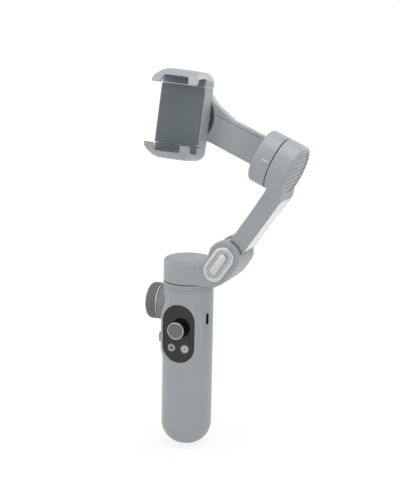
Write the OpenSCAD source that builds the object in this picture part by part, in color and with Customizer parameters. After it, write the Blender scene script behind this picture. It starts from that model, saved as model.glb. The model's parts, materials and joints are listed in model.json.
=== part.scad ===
// Hand-held phone gimbal. Origin at the foot of the grip, +Z along the grip, thumb panel towards -Y.

/* [Grip] */
// Radius of the grip tube
grip_r = 20; // [19:0.5:23]
// Height of the grip, up to the yaw seam
grip_h = 134.1; // [131:0.1:150]
// Wall of the grip tube
grip_wall = 2.2; // [1.8:0.1:2.6]
// Radius of the rounded foot
foot_round = 18; // [14:0.5:18]
// Radius of the tripod insert
insert_r = 5; // [4.5:0.1:6]
// Length of the tripod insert
insert_h = 11; // [8:0.5:12]
// Radius of the tripod thread (quarter inch)
thread_r = 3.175; // [2.5:0.005:3.5]
// Depth of the tripod thread
thread_depth = 9; // [6:0.5:9]
// Height of the grooved collar
collar_h = 7; // [6:0.1:7.2]
// Number of grooves around the collar
groove_count = 4; // [2:1:4]
// Distance between two grooves
groove_pitch = 1.45; // [1.2:0.05:1.6]
// Radius of a groove's section
groove_r = 0.3; // [0.2:0.05:0.4]

/* [Thumb panel] */
// Distance of the panel's centre below the yaw seam
panel_drop = 39.3; // [37:0.1:43]
// Width of the panel
panel_w = 27; // [25:0.5:28]
// Length of the panel
panel_l = 47; // [44:0.5:50]
// Thickness of the panel
panel_t = 1.6; // [1.2:0.1:2]
// Depth of the panel's face in front of the grip axis
panel_y = 18.7; // [18:0.1:19]
// Rim of the boss around the panel
boss_rim = 1.1; // [0.8:0.1:1.5]
// Rise of the boss above the panel
boss_rise = 0.5; // [0.3:0.1:0.8]
// Widening of the boss down to the grip tube
boss_flare = 3.4; // [2:0.1:4]
// Distance of the joystick below the yaw seam
stick_drop = 35.3; // [33.3:0.1:36.3]
// Radius of the joystick cap
cap_r = 6.8; // [6:0.1:7.2]
// Thickness of the joystick cap
cap_t = 2.6; // [2:0.1:3]
// Distance of the joystick cap's face from the grip axis
cap_y = 26; // [25:0.1:27]
// Distance of the two thumb buttons below the yaw seam
button_drop = 50.9; // [50.3:0.1:52.3]
// Distance of a thumb button from the middle
button_x = 5.6; // [5:0.1:6]
// Radius of the record button
record_r = 3.1; // [2.5:0.1:3.3]
// Radius of the mode button
mode_r = 3.4; // [2.5:0.1:3.6]
// Radius of the red dot
dot_r = 1.3; // [0.8:0.1:1.6]
// Rise of the thumb buttons above the panel
button_rise = 1.5; // [1.1:0.1:2]

/* [Grip sides] */
// Distance of the zoom wheel's axis below the yaw seam
wheel_drop = 19.3; // [18.3:0.1:21.3]
// Radius of the zoom wheel
wheel_r = 14.5; // [13:0.1:15]
// Width of the zoom wheel
wheel_w = 10.2; // [8:0.1:12]
// Rounding of the zoom wheel's outer edge
wheel_round = 3; // [2:0.1:4]
// Reach of the wheel base out from the grip tube
base_reach = 1.5; // [1:0.1:2]
// Width of the wheel's bright trim ring
trim_w = 0.8; // [0.6:0.1:1.2]
// Radius of the wheel spindle
spindle_r = 3; // [2.5:0.1:4]
// Distance of the side button below the yaw seam
side_drop = 49; // [47.3:0.1:51.3]
// Length of the side button
side_l = 8; // [7:0.1:9]
// Width of the side button
side_w = 5; // [4:0.1:6]
// Rise of the side button out of the grip tube
side_rise = 3.2; // [2:0.1:4]
// Distance of the charging socket below the yaw seam
usb_drop = 27.8; // [25.3:0.1:31.3]
// Direction of the charging socket, from the right side towards the panel
usb_turn = 18; // [10:1:25]
// Length of the charging socket's mouth
usb_l = 9.2; // [8.6:0.1:10]
// Width of the charging socket's mouth
usb_w = 3.4; // [3:0.1:3.8]
// Depth of the charging socket
usb_depth = 6.4; // [6:0.1:6.6]

/* [Grip inside] */
// Radius of the battery cell
cell_r = 9.15; // [7:0.05:9.2]
// Length of the battery cell
cell_h = 65; // [50:0.5:66]
// Thickness of the circuit board
board_t = 1.6; // [1:0.1:2]
// Width of the circuit board
board_w = 24; // [23:0.5:26]
// Length of the circuit board
board_l = 56; // [50:1:58]

/* [Yaw drum and elbow] */
// Gap at each turning seam
seam = 0.6; // [0.4:0.1:0.8]
// Height of the yaw drum
drum_h = 18.1; // [17.6:0.1:22]
// Rounding of the drum's edges
drum_round = 3; // [1.5:0.1:3.4]
// Distance of the fold hinge from the yaw axis
hinge_x = 35.5; // [34:0.5:38]
// Height of the fold hinge above the drum
hinge_rise = 6.7; // [6:0.1:8]
// Radius of the elbow's ears
ear_r = 13; // [12.5:0.1:13.5]
// Width of the elbow across both ears
elbow_w = 33; // [31:0.5:36]
// Width of the arm's tongue between the ears
tongue_w = 13.4; // [12:0.1:14]
// Radius of the fold pin
pin_r = 4; // [3:0.1:4.5]
// Length of the lock bezel
lock_l = 31; // [29:0.5:32]
// Width of the lock bezel
lock_w = 17.4; // [16.5:0.1:18]
// Rim of the lock bezel
lock_rim = 3; // [2:0.1:3.2]
// Travel of the lock button
lock_travel = 2; // [1:0.1:2.2]

/* [Lower arm] */
// Slope of the lower arm above the horizontal
arm_angle = 55.5; // [54:0.5:57]
// Length of the lower arm, from the hinge to the tilt motor
arm_l = 82.2; // [80:0.2:94]
// Offset of the tilt motor from the hinge line
arm_offset = 12.5; // [11.5:0.1:13]
// Thickness of the lower arm on its inner side of the hinge
arm_in = 5; // [4:0.1:5.2]
// Thickness of the lower arm on its outer side of the hinge
arm_out = 9.5; // [9:0.1:9.6]
// Width of the lower arm
arm_w = 25; // [22:0.5:28]
// Thickness of the outer cover strip
strip_t = 1.6; // [1.2:0.1:2]
// Width of the outer cover strip
strip_w = 22.5; // [16:0.5:23]

/* [Tilt motor and upper arm] */
// Drop of the tilt axis below the horizontal
tilt_drop = 22.5; // [20.5:0.1:24]
// Radius of the tilt motor's housing
tilt_r = 21.25; // [20.5:0.05:22]
// Length of the housing on the upper arm
tilt_left = 15; // [14.8:0.1:18]
// Length of the housing on the lower arm
tilt_right = 17; // [16:0.1:19]
// Pitch of the upper arm and clamp, facing up
pitch = 10; // [0:0.5:13]
// Length of the upper arm, from the tilt seam to the roll axis
bar_l = 80.7; // [77:0.1:89]
// Width of the upper arm
bar_w = 24; // [20:0.1:25]
// Thickness of the upper arm
bar_t = 11; // [9:0.1:12]
// Radius of the roll head
head_r = 23.5; // [22.5:0.1:25]
// Thickness of the end plate's ribs
rib_w = 1.1; // [0.8:0.1:1.4]
// Number of ribs on the end plate
rib_count = 7; // [5:2:9]

/* [Motors] */
// Outer radius of a magnet ring
magnet_r = 16.6; // [16.2:0.1:16.8]
// Thickness of a magnet ring
magnet_t = 2.2; // [1.6:0.1:2.3]
// Air gap between the magnets and the stator
air_gap = 0.5; // [0.4:0.05:0.7]
// Length of a magnet ring
magnet_l = 9.5; // [8.6:0.1:9.8]
// Radius of a motor shaft
shaft_r = 2.5; // [2:0.1:2.8]
// Outer radius of a motor bearing
bearing_r = 5; // [4.5:0.1:5.2]
// Width of a motor bearing
bearing_w = 3; // [2.5:0.1:3]
// Number of stator teeth
tooth_count = 9; // [6:3:9]

/* [Clamp] */
// Lean of the clamp about the roll axis
clamp_lean = 3.3; // [0:0.1:10]
// Height of the clamp's middle above the roll axis
clamp_rise = 0.4; // [0:0.1:2]
// Width of the clamp
clamp_w = 36; // [34.6:0.1:44]
// Height of the clamp frame between its jaws
clamp_h = 46.4; // [46:0.1:54]
// Depth of the clamp frame
clamp_d = 16.8; // [16.2:0.1:18]
// Thickness of the rubber pad
pad_t = 2; // [1:0.1:3]
// Depth of the phone slot
slot_d = 18; // [14:0.5:19]
// Height of a jaw
jaw_h = 10.8; // [9.5:0.1:12]
// Thickness of a jaw's wall
jaw_t = 3.2; // [2.6:0.1:3.4]
// Thickness of a jaw's hood over the phone's edge
hood_t = 5.4; // [4:0.1:6]
// Radius of a jaw's hood, seen from the side
hood_r = 18; // [16:0.5:22]
// Rounding of a jaw's corners
jaw_round = 8; // [5:0.1:9.4]
// Length of a claw in front of the phone slot
claw_out = 6.5; // [5.5:0.1:7]
// Width of a jaw's claw
claw_w = 7; // [6:0.1:9]
// Reach of a claw past the seam between jaw and frame
claw_reach = 0.7; // [0:0.1:2]
// Rounding of a claw's outer corner, seen from above
claw_round = 2; // [1:0.1:5]
// Opening travel of each jaw
jaw_travel = 11.5; // [8:0.5:12]
// Module of the jaw gearing
gear_module = 1; // [0.9:0.05:1.05]
// Number of teeth on the jaw pinion
pinion_teeth = 12; // [12:2:14]
// Thickness of the jaw pinion
pinion_t = 5; // [4:0.1:5.5]

/* [Hidden] */
$fn = 64;

// Clearances
touch = 0.05;
run = 0.02;
slip = 0.3;
cut = 1;

// Grip
cavity_r = grip_r - grip_wall;
panel_z = grip_h - panel_drop;
stick_z = grip_h - stick_drop;
button_z = grip_h - button_drop;
wheel_z = grip_h - wheel_drop;
side_z = grip_h - side_drop;
usb_z = grip_h - usb_drop;
collar_z = grip_h - collar_h;
collar_plate = 2.8;
lip_h = 4;
lip_t = 1.4;
cable_r = 4;
foot_wall = 2;
cavity_z = insert_h + foot_wall;
boss_y = panel_y + boss_rise;
boss_root = 10;
boss_r = panel_w / 2 + boss_rim;
panel_half = (panel_l - panel_w) / 2;
panel_back = panel_y - panel_t;
ledge = 1.7;
arch_r = panel_w / 2 + 5.5;

// Joystick, from the cap back to the circuit board
board_gap = 10;
board_y = panel_back - board_gap;
socket_wall = 1.2;
well_gap = 1.6;
socket_floor = 1;
socket_r = cap_r + well_gap + socket_floor;
pivot_gap = 3.5;
pivot_y = board_y + socket_floor + pivot_gap;
yoke_r = cap_r - 0.2;
yoke_t = 1.6;
yoke_w = 3;
trunnion_r = 1;
hub_r = 3.2;
hub_w = 3.4;
stem_r = 2.2;
well_r = cap_r + well_gap;

// Thumb buttons
button_y = panel_y + button_rise;
button_gap = 0.2;
flange_t = 1;
flange_out = 0.8;
button_back = panel_back - 1.6;
button_travel = 0.8;
switch_y = button_back - button_travel - 0.2;
switch_w = 5;
dot_t = 0.6;

// Zoom wheel, outwards from the grip tube
base_x = grip_r + base_reach;
base_r = wheel_r - 0.5;
wheel_x = base_x + slip;
wheel_wall = 1.6;
spindle_x = wheel_x + wheel_w - wheel_wall - slip;
encoder_w = 10;
encoder_t = 5;
notch_w = 1;
base_seat = 7;

// Side button
frame_rim = 2.6;
frame_l = side_l + 2 * frame_rim;
frame_w = side_w + 2 * frame_rim;
frame_rise = 0.9;
frame_depth = 4.5;
frame_floor = 1;
side_gap = 0.15;
side_back = grip_r + frame_rise - frame_depth + frame_floor + 1;

// Battery and circuit board
cell_y = 4.5;
cell_gap = 7;
cell_z = cavity_z + cell_gap;
cradle_t = 2;
cradle_r = cavity_r - 0.2;
spine_w = 8;
board_z = panel_z - board_l / 2;

// Motor, measured from the face that carries the magnets
stator_z = 1.5;
stator_l = 7;
motor_l = 12;
flange_z = 10;
motor_flange_r = 9;
hub_wall = 1.2;
post_r = bearing_r + hub_wall;
core_r = post_r + 2.3;
stator_r = magnet_r - magnet_t - air_gap;
shoe_t = 1.4;
tooth_w = 3;
coil_w = 1.2;
coil_over = 0.9;
coil_l = stator_r - 1.3 * shoe_t - core_r;
motor_cavity = magnet_r + 0.6;
bearing_in = 0.3;
screw_r = 0.9;
screw_head_r = 1.15;
screw_head_h = 1.2;
screw_circle = (post_r + motor_flange_r) / 2;
screw_count = 3;

// Yaw drum
drum_z = grip_h + seam;
drum_top = drum_z + drum_h;
yaw_face = drum_top - 3.5;
yaw_base = yaw_face - motor_l - grip_h;
top_groove = 0.5;
top_ring_r = grip_r - drum_round;

// Elbow
hinge_z = drum_top + hinge_rise;
slot_r = ear_r + 0.2;
slot_w = tongue_w + 2 * seam;
skirt_run = 8;
skirt_x = grip_r + skirt_run;
ear_wall = 1.6;
ear_open = 45;
tongue_r = ear_r - ear_wall;
elbow_drop = 14.5;
elbow_chamfer = 4;
pin_end = 6;
pin_l = elbow_w - 2 * pin_end;
lock_shift = (lock_l - lock_w) / 2;
lock_face = elbow_w / 2 + 1.5;
lock_t = 4;
lock_depth = lock_t + lock_travel + 0.5;
lock_gap = 0.3;
lock_step = 0.7;
lock_bar = 5;
lock_dish = 1.6;
spring_r = 2;
spring_wire = 0.35;

// Lower arm
neck = 0.78 * ear_r;
arm_clear = ear_r + 0.4;
strip_start = ear_r;
strip_stop = 20;
strip_end = arm_l - strip_stop;
flare_l = 38;
arm_flat = arm_l - flare_l;
arm_flare = 16.5;
flare_end = 12;
arm_flare_start = arm_l - flare_end;
arm_end_in = 19;
arm_end_out = 18;
arm_end_top = 10;
arm_end_tip = 6;
arm_end_rise = 2;
floor_s = 3;
floor_t = 2.5;
plate_r = tilt_r - 4.5;
plate_t = 1.6;
plate_in = 0.6;
housing_r = tilt_r - 2.6;

// Tilt motor
tilt_x = hinge_x + arm_l * cos(arm_angle) - arm_offset * sin(arm_angle);
tilt_z = hinge_z + arm_l * sin(arm_angle) + arm_offset * cos(arm_angle);
tilt_face = tilt_left - 3;
half_seam = seam / 2;
tilt_base = floor_s + tilt_face - motor_l;

// Upper arm and roll motor
roll_face = 1.2;
head_front = roll_face - seam;
head_wall = 2.7;
head_back = motor_l - roll_face + head_wall;
head_round = 2;
bar_up = 1.3;
web_l = 1.45 * head_r;
web_turn = 37;
cover_w = bar_w - 5;
cover_t = 1;
cover_start = tilt_left + 5;
cover_end = bar_l - head_r - 2;
cap_disc_r = head_r - 4;
cap_disc_t = 1;

// Clamp, in its own frame
frame_front = roll_face + clamp_d;
pad_face = frame_front + pad_t;
frame_half = clamp_h / 2;
frame_round = 0.8;
pad_rim = 1;
pad_round = 2;
side_wall = 2;
back_wall = 3.8;
front_wall = 2.5;
inner_x = clamp_w / 2 - side_wall;
inner_z = frame_half - 3.25;
jaw_gap = 0.25;
jaw_z0 = frame_half + jaw_gap;
jaw_top = jaw_z0 + jaw_h;
jaw_front = pad_face + slot_d + claw_out;
claw_z0 = jaw_z0 - claw_reach;
hood_z = jaw_top - hood_r;
hood_x = jaw_front - sqrt(hood_r * hood_r - (claw_z0 - hood_z) * (claw_z0 - hood_z));
grip_t = 1.5;
grip_margin = 5;
grip_d = slot_d / 2;
grip_round = 2;
pinion_r = gear_module * pinion_teeth / 2;
tooth_pitch = PI * gear_module;
tooth_base = 0.48 * tooth_pitch;
tooth_tip = 0.22 * tooth_pitch;
tooth_out = 0.8 * gear_module;
tooth_in = 1.2 * gear_module;
rack_w = 3.6;
rack_room = rack_w + tooth_in + tooth_out + 2 * slip;
rack_tail = jaw_travel + 2.5;
gear_y = frame_front - front_wall - 2.5 - pinion_t;
axle_r = 1.95;
spring_side = 0.6;
spring_rack = 1.4;
jaw_spring_r = (inner_x - pinion_r - tooth_in - rack_w - spring_side - spring_rack) / 2;
jaw_spring_x = inner_x - spring_side - jaw_spring_r;
jaw_spring_y = frame_front - front_wall - 5;

// Colours
shell_grey = [0.66, 0.67, 0.68];
dark_grey = [0.2, 0.21, 0.22];
gloss_black = [0.04, 0.04, 0.05];
bright_metal = [0.8, 0.8, 0.81];
rubber_grey = [0.4, 0.44, 0.46];
copper = [0.72, 0.43, 0.2];
steel = [0.6, 0.61, 0.63];

// Outline with two round ends, along Y
module stadium(l, w) {
    square([w, l - w], center = true);
    for (s = [-1, 1])
        translate([0, s * (l - w) / 2])
            circle(d = w);
}

// Rectangle with round corners
module round_rect(w, h, r) {
    square([w - 2 * r, h], center = true);
    square([w, h - 2 * r], center = true);
    for (x = [-1, 1], y = [-1, 1])
        translate([x * (w / 2 - r), y * (h / 2 - r)])
            circle(r);
}

// Turned cylinder with a round upper edge
module turned(r, h, round) {
    rotate_extrude() {
        square([r, h - round]);
        square([r - round, h]);
        translate([r - round, h - round])
            circle(round);
    }
}

module tube(r_out, r_in, h) {
    difference() {
        cylinder(r = r_out, h = h);
        translate([0, 0, -cut])
            cylinder(r = r_in, h = h + 2 * cut);
    }
}

// Places local x, y, z along world X, Z and -Y, with local z = 0 at distance y in front of the grip axis
module on_front(y) {
    translate([0, -y, 0])
        rotate([90, 0, 0])
            children();
}

// Places local z along -X
module on_left(x, z) {
    translate([-x, 0, z])
        rotate([0, -90, 0])
            children();
}

// Lower arm frame: x along the arm from the hinge, z towards its inner side
module at_arm() {
    translate([hinge_x, 0, hinge_z])
        rotate([0, -arm_angle, 0])
            children();
}

// Tilt frame: z along the tilt axis, from the upper arm to the lower arm
module at_tilt() {
    translate([tilt_x, 0, tilt_z])
        rotate([0, 90 + tilt_drop, 0])
            children();
}

// Upper arm frame: the tilt frame, pitched
module at_upper() {
    at_tilt()
        rotate([0, 0, -pitch])
            children();
}

// Head frame: on the roll axis, turned as the upper arm is pitched
module at_head() {
    at_upper()
        translate([0, 0, -bar_l])
            rotate([0, -90 - tilt_drop, 0])
                children();
}

// Roll frame: z away from the phone
module at_roll() {
    at_head()
        rotate([-90, 0, 0])
            children();
}

// Clamp frame: z along the phone's width
module at_clamp() {
    at_head()
        rotate([0, clamp_lean, 0])
            translate([0, 0, clamp_rise])
                children();
}

// Extrudes an outline of x and z across Y, centred
module across(w) {
    rotate([90, 0, 0])
        linear_extrude(w, center = true)
            children();
}

// Round wire wound into a coil of a given radius and length, along +Z
module coil_spring(r, l, turns, wire) {
    per_turn = 10;
    sides = 6;
    rings = turns * per_turn;
    points = [
        for (i = [0 : rings], j = [0 : sides - 1])
            let (a = 360 * i / per_turn, b = 360 * j / sides, q = r + wire * cos(b))
                [q * cos(a), q * sin(a), l * i / rings + wire * sin(b)]
    ];
    walls = [
        for (i = [0 : rings - 1], j = [0 : sides - 1])
            let (k = (j + 1) % sides, low = i * sides, high = low + sides)
                each [[low + j, high + j, high + k], [low + j, high + k, low + k]]
    ];
    start = [for (j = [0 : sides - 1]) j];
    end = [for (j = [sides - 1 : -1 : 0]) rings * sides + j];
    polyhedron(points, concat([start, end], walls));
}

// Motor parts
module stack_outline() {
    difference() {
        union() {
            circle(core_r);
            intersection() {
                circle(stator_r);
                for (i = [0 : tooth_count - 1])
                    rotate((i + 0.5) * 360 / tooth_count) {
                        translate([0, -tooth_w / 2])
                            square([stator_r + cut, tooth_w]);
                        translate([stator_r - shoe_t, -1.3 * tooth_w])
                            square([2 * shoe_t, 2.6 * tooth_w]);
                    }
            }
        }
        circle(bearing_r);
    }
}

module motor_stator(base) {
    translate([0, 0, stator_z])
        linear_extrude(stator_l)
            stack_outline();
    translate([0, 0, stator_z + stator_l])
        tube(post_r, bearing_r, motor_l + base - stator_z - stator_l);
    translate([0, 0, flange_z])
        tube(motor_flange_r, bearing_r, motor_l + base - flange_z);
}

module motor_coils() {
    for (i = [0 : tooth_count - 1])
        rotate([0, 0, (i + 0.5) * 360 / tooth_count])
            difference() {
                translate([core_r + touch, -tooth_w / 2 - coil_w, stator_z - coil_over])
                    cube([coil_l, tooth_w + 2 * coil_w, stator_l + 2 * coil_over]);
                translate([0, -tooth_w / 2 - touch, stator_z - touch])
                    cube([stator_r, tooth_w + 2 * touch, stator_l + 2 * touch]);
            }
}

module motor_bearings(base) {
    for (z = [stator_z + bearing_in, motor_l + base - bearing_w - bearing_in])
        translate([0, 0, z])
            tube(bearing_r - touch, shaft_r + run, bearing_w);
}

module motor_magnets() {
    tube(magnet_r, magnet_r - magnet_t, magnet_l);
}

module motor_shaft(base) {
    cylinder(r = shaft_r, h = motor_l + base - touch);
}

// Grip
module foot_profile() {
    intersection() {
        union() {
            translate([0, foot_round])
                square([grip_r, collar_z - foot_round]);
            square([grip_r - foot_round, foot_round]);
            translate([grip_r - foot_round, foot_round])
                circle(foot_round);
        }
        square([grip_r, collar_z]);
    }
}

module panel_boss() {
    h = boss_y - boss_root;
    r_root = boss_r + boss_flare;
    on_front(boss_root) {
        for (s = [-1, 1])
            translate([0, panel_z + s * panel_half, 0])
                cylinder(h = h, r1 = r_root, r2 = boss_r);
        translate([0, panel_z + panel_half, 0])
            rotate([90, 0, 0])
                linear_extrude(2 * panel_half)
                    polygon([[-r_root, 0], [r_root, 0], [boss_r, h], [-boss_r, h]]);
    }
}

module panel_prism(y, depth, grow) {
    on_front(y)
        translate([0, panel_z])
            linear_extrude(depth)
                stadium(panel_l + 2 * grow, panel_w + 2 * grow);
}

module usb_prism(depth, grow) {
    rotate([0, 0, -usb_turn])
        translate([grip_r - depth, 0, usb_z])
            rotate([90, 0, 90])
                linear_extrude(depth + cut)
                    stadium(usb_l + 2 * grow, usb_w + 2 * grow);
}

module side_prism(x0, x1, l, w) {
    on_left(x0, side_z)
        linear_extrude(x1 - x0)
            rotate([0, 0, 90])
                stadium(l, w);
}

module grip_shell() {
    color(shell_grey)
        difference() {
            union() {
                rotate_extrude()
                    foot_profile();
                difference() {
                    panel_boss();
                    on_left(0, wheel_z)
                        cylinder(r = base_r + touch, h = 2 * grip_r);
                }
            }
            translate([0, 0, foot_round])
                cylinder(r = cavity_r, h = grip_h);
            translate([0, 0, cavity_z])
                cylinder(r = 0.7 * cavity_r, h = grip_h);
            translate([0, 0, -cut])
                cylinder(r = insert_r, h = insert_h + cut);
            panel_prism(panel_back, grip_r, touch);
            panel_prism(0, grip_r, -ledge);
            panel_prism(boss_y, grip_r, arch_r - panel_w / 2);
            usb_prism(grip_r / 2, touch);
            side_prism(0, 2 * grip_r, frame_l + 2 * touch, frame_w + 2 * touch);
            on_left(0, wheel_z)
                cylinder(r = spindle_r + touch, h = 2 * grip_r);
        }
}

module grip_collar() {
    color(shell_grey)
        difference() {
            union() {
                translate([0, 0, collar_z])
                    cylinder(r = grip_r, h = collar_h);
                translate([0, 0, collar_z - lip_h])
                    cylinder(r = cavity_r - touch, h = lip_h);
            }
            translate([0, 0, collar_z - lip_h - cut])
                cylinder(r = cavity_r - lip_t, h = lip_h + collar_h - collar_plate + cut);
            cylinder(r = cable_r, h = 2 * grip_h);
            for (i = [1 : groove_count])
                translate([0, 0, grip_h - i * groove_pitch])
                    rotate_extrude()
                        translate([grip_r, 0])
                            circle(groove_r);
            for (i = [0 : screw_count - 1])
                rotate([0, 0, i * 360 / screw_count])
                    translate([screw_circle, 0, grip_h - collar_plate - cut])
                        cylinder(r = screw_r + touch, h = collar_plate + 2 * cut);
            on_left(0, wheel_z)
                cylinder(r = encoder_w, h = 2 * grip_r);
        }
}

module tripod_insert() {
    color(bright_metal)
        difference() {
            cylinder(r = insert_r - touch, h = insert_h - touch);
            translate([0, 0, -cut])
                cylinder(r = thread_r, h = thread_depth + cut);
        }
}

module battery_cell() {
    color("steelblue")
        translate([0, cell_y, cell_z]) {
            cylinder(r = cell_r, h = cell_h);
            translate([0, 0, cell_h])
                cylinder(r = cell_r / 3, h = cradle_t / 2);
        }
}

module battery_cradle() {
    color(dark_grey)
        difference() {
            union() {
                for (z = [cell_z - cradle_t, cell_z + cell_h + cradle_t / 2])
                    translate([0, 0, z])
                        cylinder(r = cradle_r, h = cradle_t);
                intersection() {
                    cylinder(r = cradle_r, h = grip_h);
                    translate([-spine_w / 2, cell_y + cell_r + touch, cell_z - cradle_t])
                        cube([spine_w, grip_r, cell_h + 2.5 * cradle_t]);
                }
            }
            translate([-grip_r, -grip_r - board_y + board_t + slip, board_z - slip])
                cube([2 * grip_r, grip_r, grip_h]);
            side_prism(0, grip_r, frame_l + 2 * slip, frame_w + 2 * slip);
        }
}

module main_board() {
    color("darkgreen")
        translate([-board_w / 2, -board_y, board_z])
            cube([board_w, board_t, board_l]);
}

module thumb_panel() {
    color(gloss_black)
        difference() {
            panel_prism(panel_back, panel_t, 0);
            on_front(0) {
                translate([0, stick_z, 0])
                    cylinder(r = well_r, h = 2 * grip_r);
                translate([-button_x, button_z, 0])
                    cylinder(r = record_r + button_gap, h = 2 * grip_r);
                translate([button_x, button_z, 0])
                    cylinder(r = mode_r + button_gap, h = 2 * grip_r);
            }
        }
}

module joystick_socket() {
    color(dark_grey)
        difference() {
            on_front(board_y)
                translate([0, stick_z, 0])
                    cylinder(r = socket_r, h = panel_back - board_y);
            on_front(board_y + socket_floor)
                translate([0, stick_z, 0])
                    cylinder(r = socket_r - socket_wall, h = grip_r);
            translate([0, -pivot_y, stick_z])
                rotate([0, 90, 0])
                    cylinder(r = trunnion_r + touch, h = 2 * grip_r, center = true);
        }
}

module joystick_yoke() {
    color(dark_grey)
        translate([0, -pivot_y, stick_z])
            difference() {
                union() {
                    rotate([90, 0, 0])
                        cylinder(r = yoke_r, h = yoke_w, center = true);
                    rotate([0, 90, 0])
                        cylinder(r = trunnion_r, h = 2 * socket_r - socket_wall, center = true);
                }
                rotate([90, 0, 0])
                    cylinder(r = yoke_r - yoke_t, h = 2 * yoke_w, center = true);
                cylinder(r = trunnion_r + touch, h = 4 * yoke_r, center = true);
            }
}

module joystick_stick() {
    color(dark_grey) {
        translate([0, -pivot_y, stick_z]) {
            rotate([90, 0, 0])
                cylinder(r = hub_r, h = hub_w, center = true);
            cylinder(r = trunnion_r, h = 2 * yoke_r - yoke_t, center = true);
        }
        on_front(pivot_y)
            translate([0, stick_z, 0])
                cylinder(r = stem_r, h = cap_y - cap_t - pivot_y);
        on_front(cap_y - cap_t)
            translate([0, stick_z, 0])
                difference() {
                    turned(cap_r, cap_t, cap_t / 3);
                    translate([0, 0, cap_t])
                        tube(0.8 * cap_r, 0.7 * cap_r, cap_t / 6);
                    translate([0, 0, 1.95 * cap_r + 0.9 * cap_t])
                        sphere(2 * cap_r);
                }
    }
}

module thumb_button(x, r) {
    on_front(button_back)
        translate([x, button_z, 0]) {
            turned(r, button_y - button_back, r / 6);
            cylinder(r = r + flange_out, h = flange_t);
        }
}

module record_button() {
    color(bright_metal)
        difference() {
            thumb_button(-button_x, record_r);
            on_front(button_y - dot_t)
                translate([-button_x, button_z, 0])
                    cylinder(r = dot_r + touch, h = cut);
        }
}

module record_dot() {
    color("red")
        on_front(button_y - dot_t)
            translate([-button_x, button_z, 0])
                cylinder(r = dot_r, h = dot_t);
}

module mode_button() {
    color(bright_metal)
        difference() {
            thumb_button(button_x, mode_r);
            on_front(button_y - dot_t / 2)
                translate([button_x, button_z, 0])
                    tube(0.62 * mode_r, 0.48 * mode_r, cut);
        }
}

module tact_switches() {
    color(steel)
        for (x = [-button_x, button_x])
            on_front(board_y)
                translate([x, button_z, 0]) {
                    translate([-switch_w / 2, -switch_w / 2, 0])
                        cube([switch_w, switch_w, (switch_y - board_y) / 2]);
                    cylinder(r = switch_w / 3, h = switch_y - board_y);
                }
}

module charging_socket() {
    color(steel)
        difference() {
            intersection() {
                usb_prism(usb_depth, 0);
                cylinder(r = grip_r - touch, h = grip_h);
            }
            difference() {
                usb_prism(usb_depth - 1, -0.4);
                rotate([0, 0, -usb_turn])
                    translate([0, -0.35, usb_z - usb_l / 2 + 1.2])
                        cube([grip_r - 1, 0.7, usb_l - 2.4]);
            }
        }
}

module wheel_base() {
    color(dark_grey)
        difference() {
            on_left(base_seat, wheel_z)
                cylinder(r = base_r, h = base_x - base_seat);
            cylinder(r = grip_r + touch, h = 2 * grip_h, center = true);
            on_left(0, wheel_z)
                cylinder(r = spindle_r + touch, h = 2 * grip_r);
            translate([-base_x - cut, -2 * wheel_r, wheel_z - notch_w / 2 - 3])
                cube([base_x - 0.6 * grip_r, wheel_r + notch_w, notch_w]);
        }
}

module wheel_spindle() {
    color(steel)
        union() {
            on_left(cavity_r - encoder_t, wheel_z)
                cylinder(r = spindle_r, h = spindle_x - cavity_r + encoder_t);
            intersection() {
                translate([-cavity_r, -encoder_w / 2, wheel_z - encoder_w / 2])
                    cube([encoder_t, encoder_w, encoder_w]);
                cylinder(r = cavity_r - touch, h = grip_h);
            }
        }
}

module zoom_wheel() {
    color(dark_grey)
        difference() {
            on_left(wheel_x, wheel_z)
                turned(wheel_r, wheel_w, wheel_round);
            on_left(wheel_x - cut, wheel_z) {
                cylinder(r = spindle_r + run, h = spindle_x + slip - wheel_x + cut);
                tube(2 * wheel_r, wheel_r - trim_w, trim_w + cut);
            }
            on_left(wheel_x + wheel_w, wheel_z)
                cylinder(r = 0.55 * wheel_r, h = trim_w, center = true);
        }
}

module wheel_trim() {
    color(bright_metal)
        on_left(wheel_x, wheel_z)
            tube(wheel_r + touch, wheel_r - trim_w + touch, trim_w - touch);
}

module side_button_frame() {
    x0 = grip_r + frame_rise - frame_depth;
    color(shell_grey)
        difference() {
            side_prism(x0, x0 + frame_depth, frame_l, frame_w);
            side_prism(x0 + frame_floor, 2 * grip_r, side_l + 2 * side_gap, side_w + 2 * side_gap);
        }
}

module side_button() {
    color(shell_grey)
        side_prism(side_back, grip_r + side_rise, side_l, side_w);
}

// Yaw motor, hanging from the drum's roof
module at_yaw() {
    translate([0, 0, yaw_face])
        rotate([180, 0, 0])
            children();
}

module yaw_stator() {
    color(steel)
        difference() {
            at_yaw()
                motor_stator(yaw_base);
            for (i = [0 : screw_count - 1])
                rotate([0, 0, i * 360 / screw_count])
                    translate([screw_circle, 0, grip_h - cut])
                        cylinder(r = screw_r + touch, h = motor_l);
        }
}

module yaw_coils() {
    color(copper)
        at_yaw()
            motor_coils();
}

module yaw_bearings() {
    color(bright_metal)
        at_yaw()
            motor_bearings(yaw_base);
}

module yaw_screws() {
    color(dark_grey)
        for (i = [0 : screw_count - 1])
            rotate([0, 0, i * 360 / screw_count])
                translate([screw_circle, 0, grip_h - collar_plate]) {
                    cylinder(r = screw_r, h = collar_plate + yaw_base);
                    translate([0, 0, -screw_head_h])
                        cylinder(r = screw_head_r, h = screw_head_h);
                }
}

module yaw_magnets() {
    color(dark_grey)
        at_yaw()
            motor_magnets();
}

module yaw_shaft() {
    color(steel)
        at_yaw()
            motor_shaft(yaw_base);
}

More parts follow.
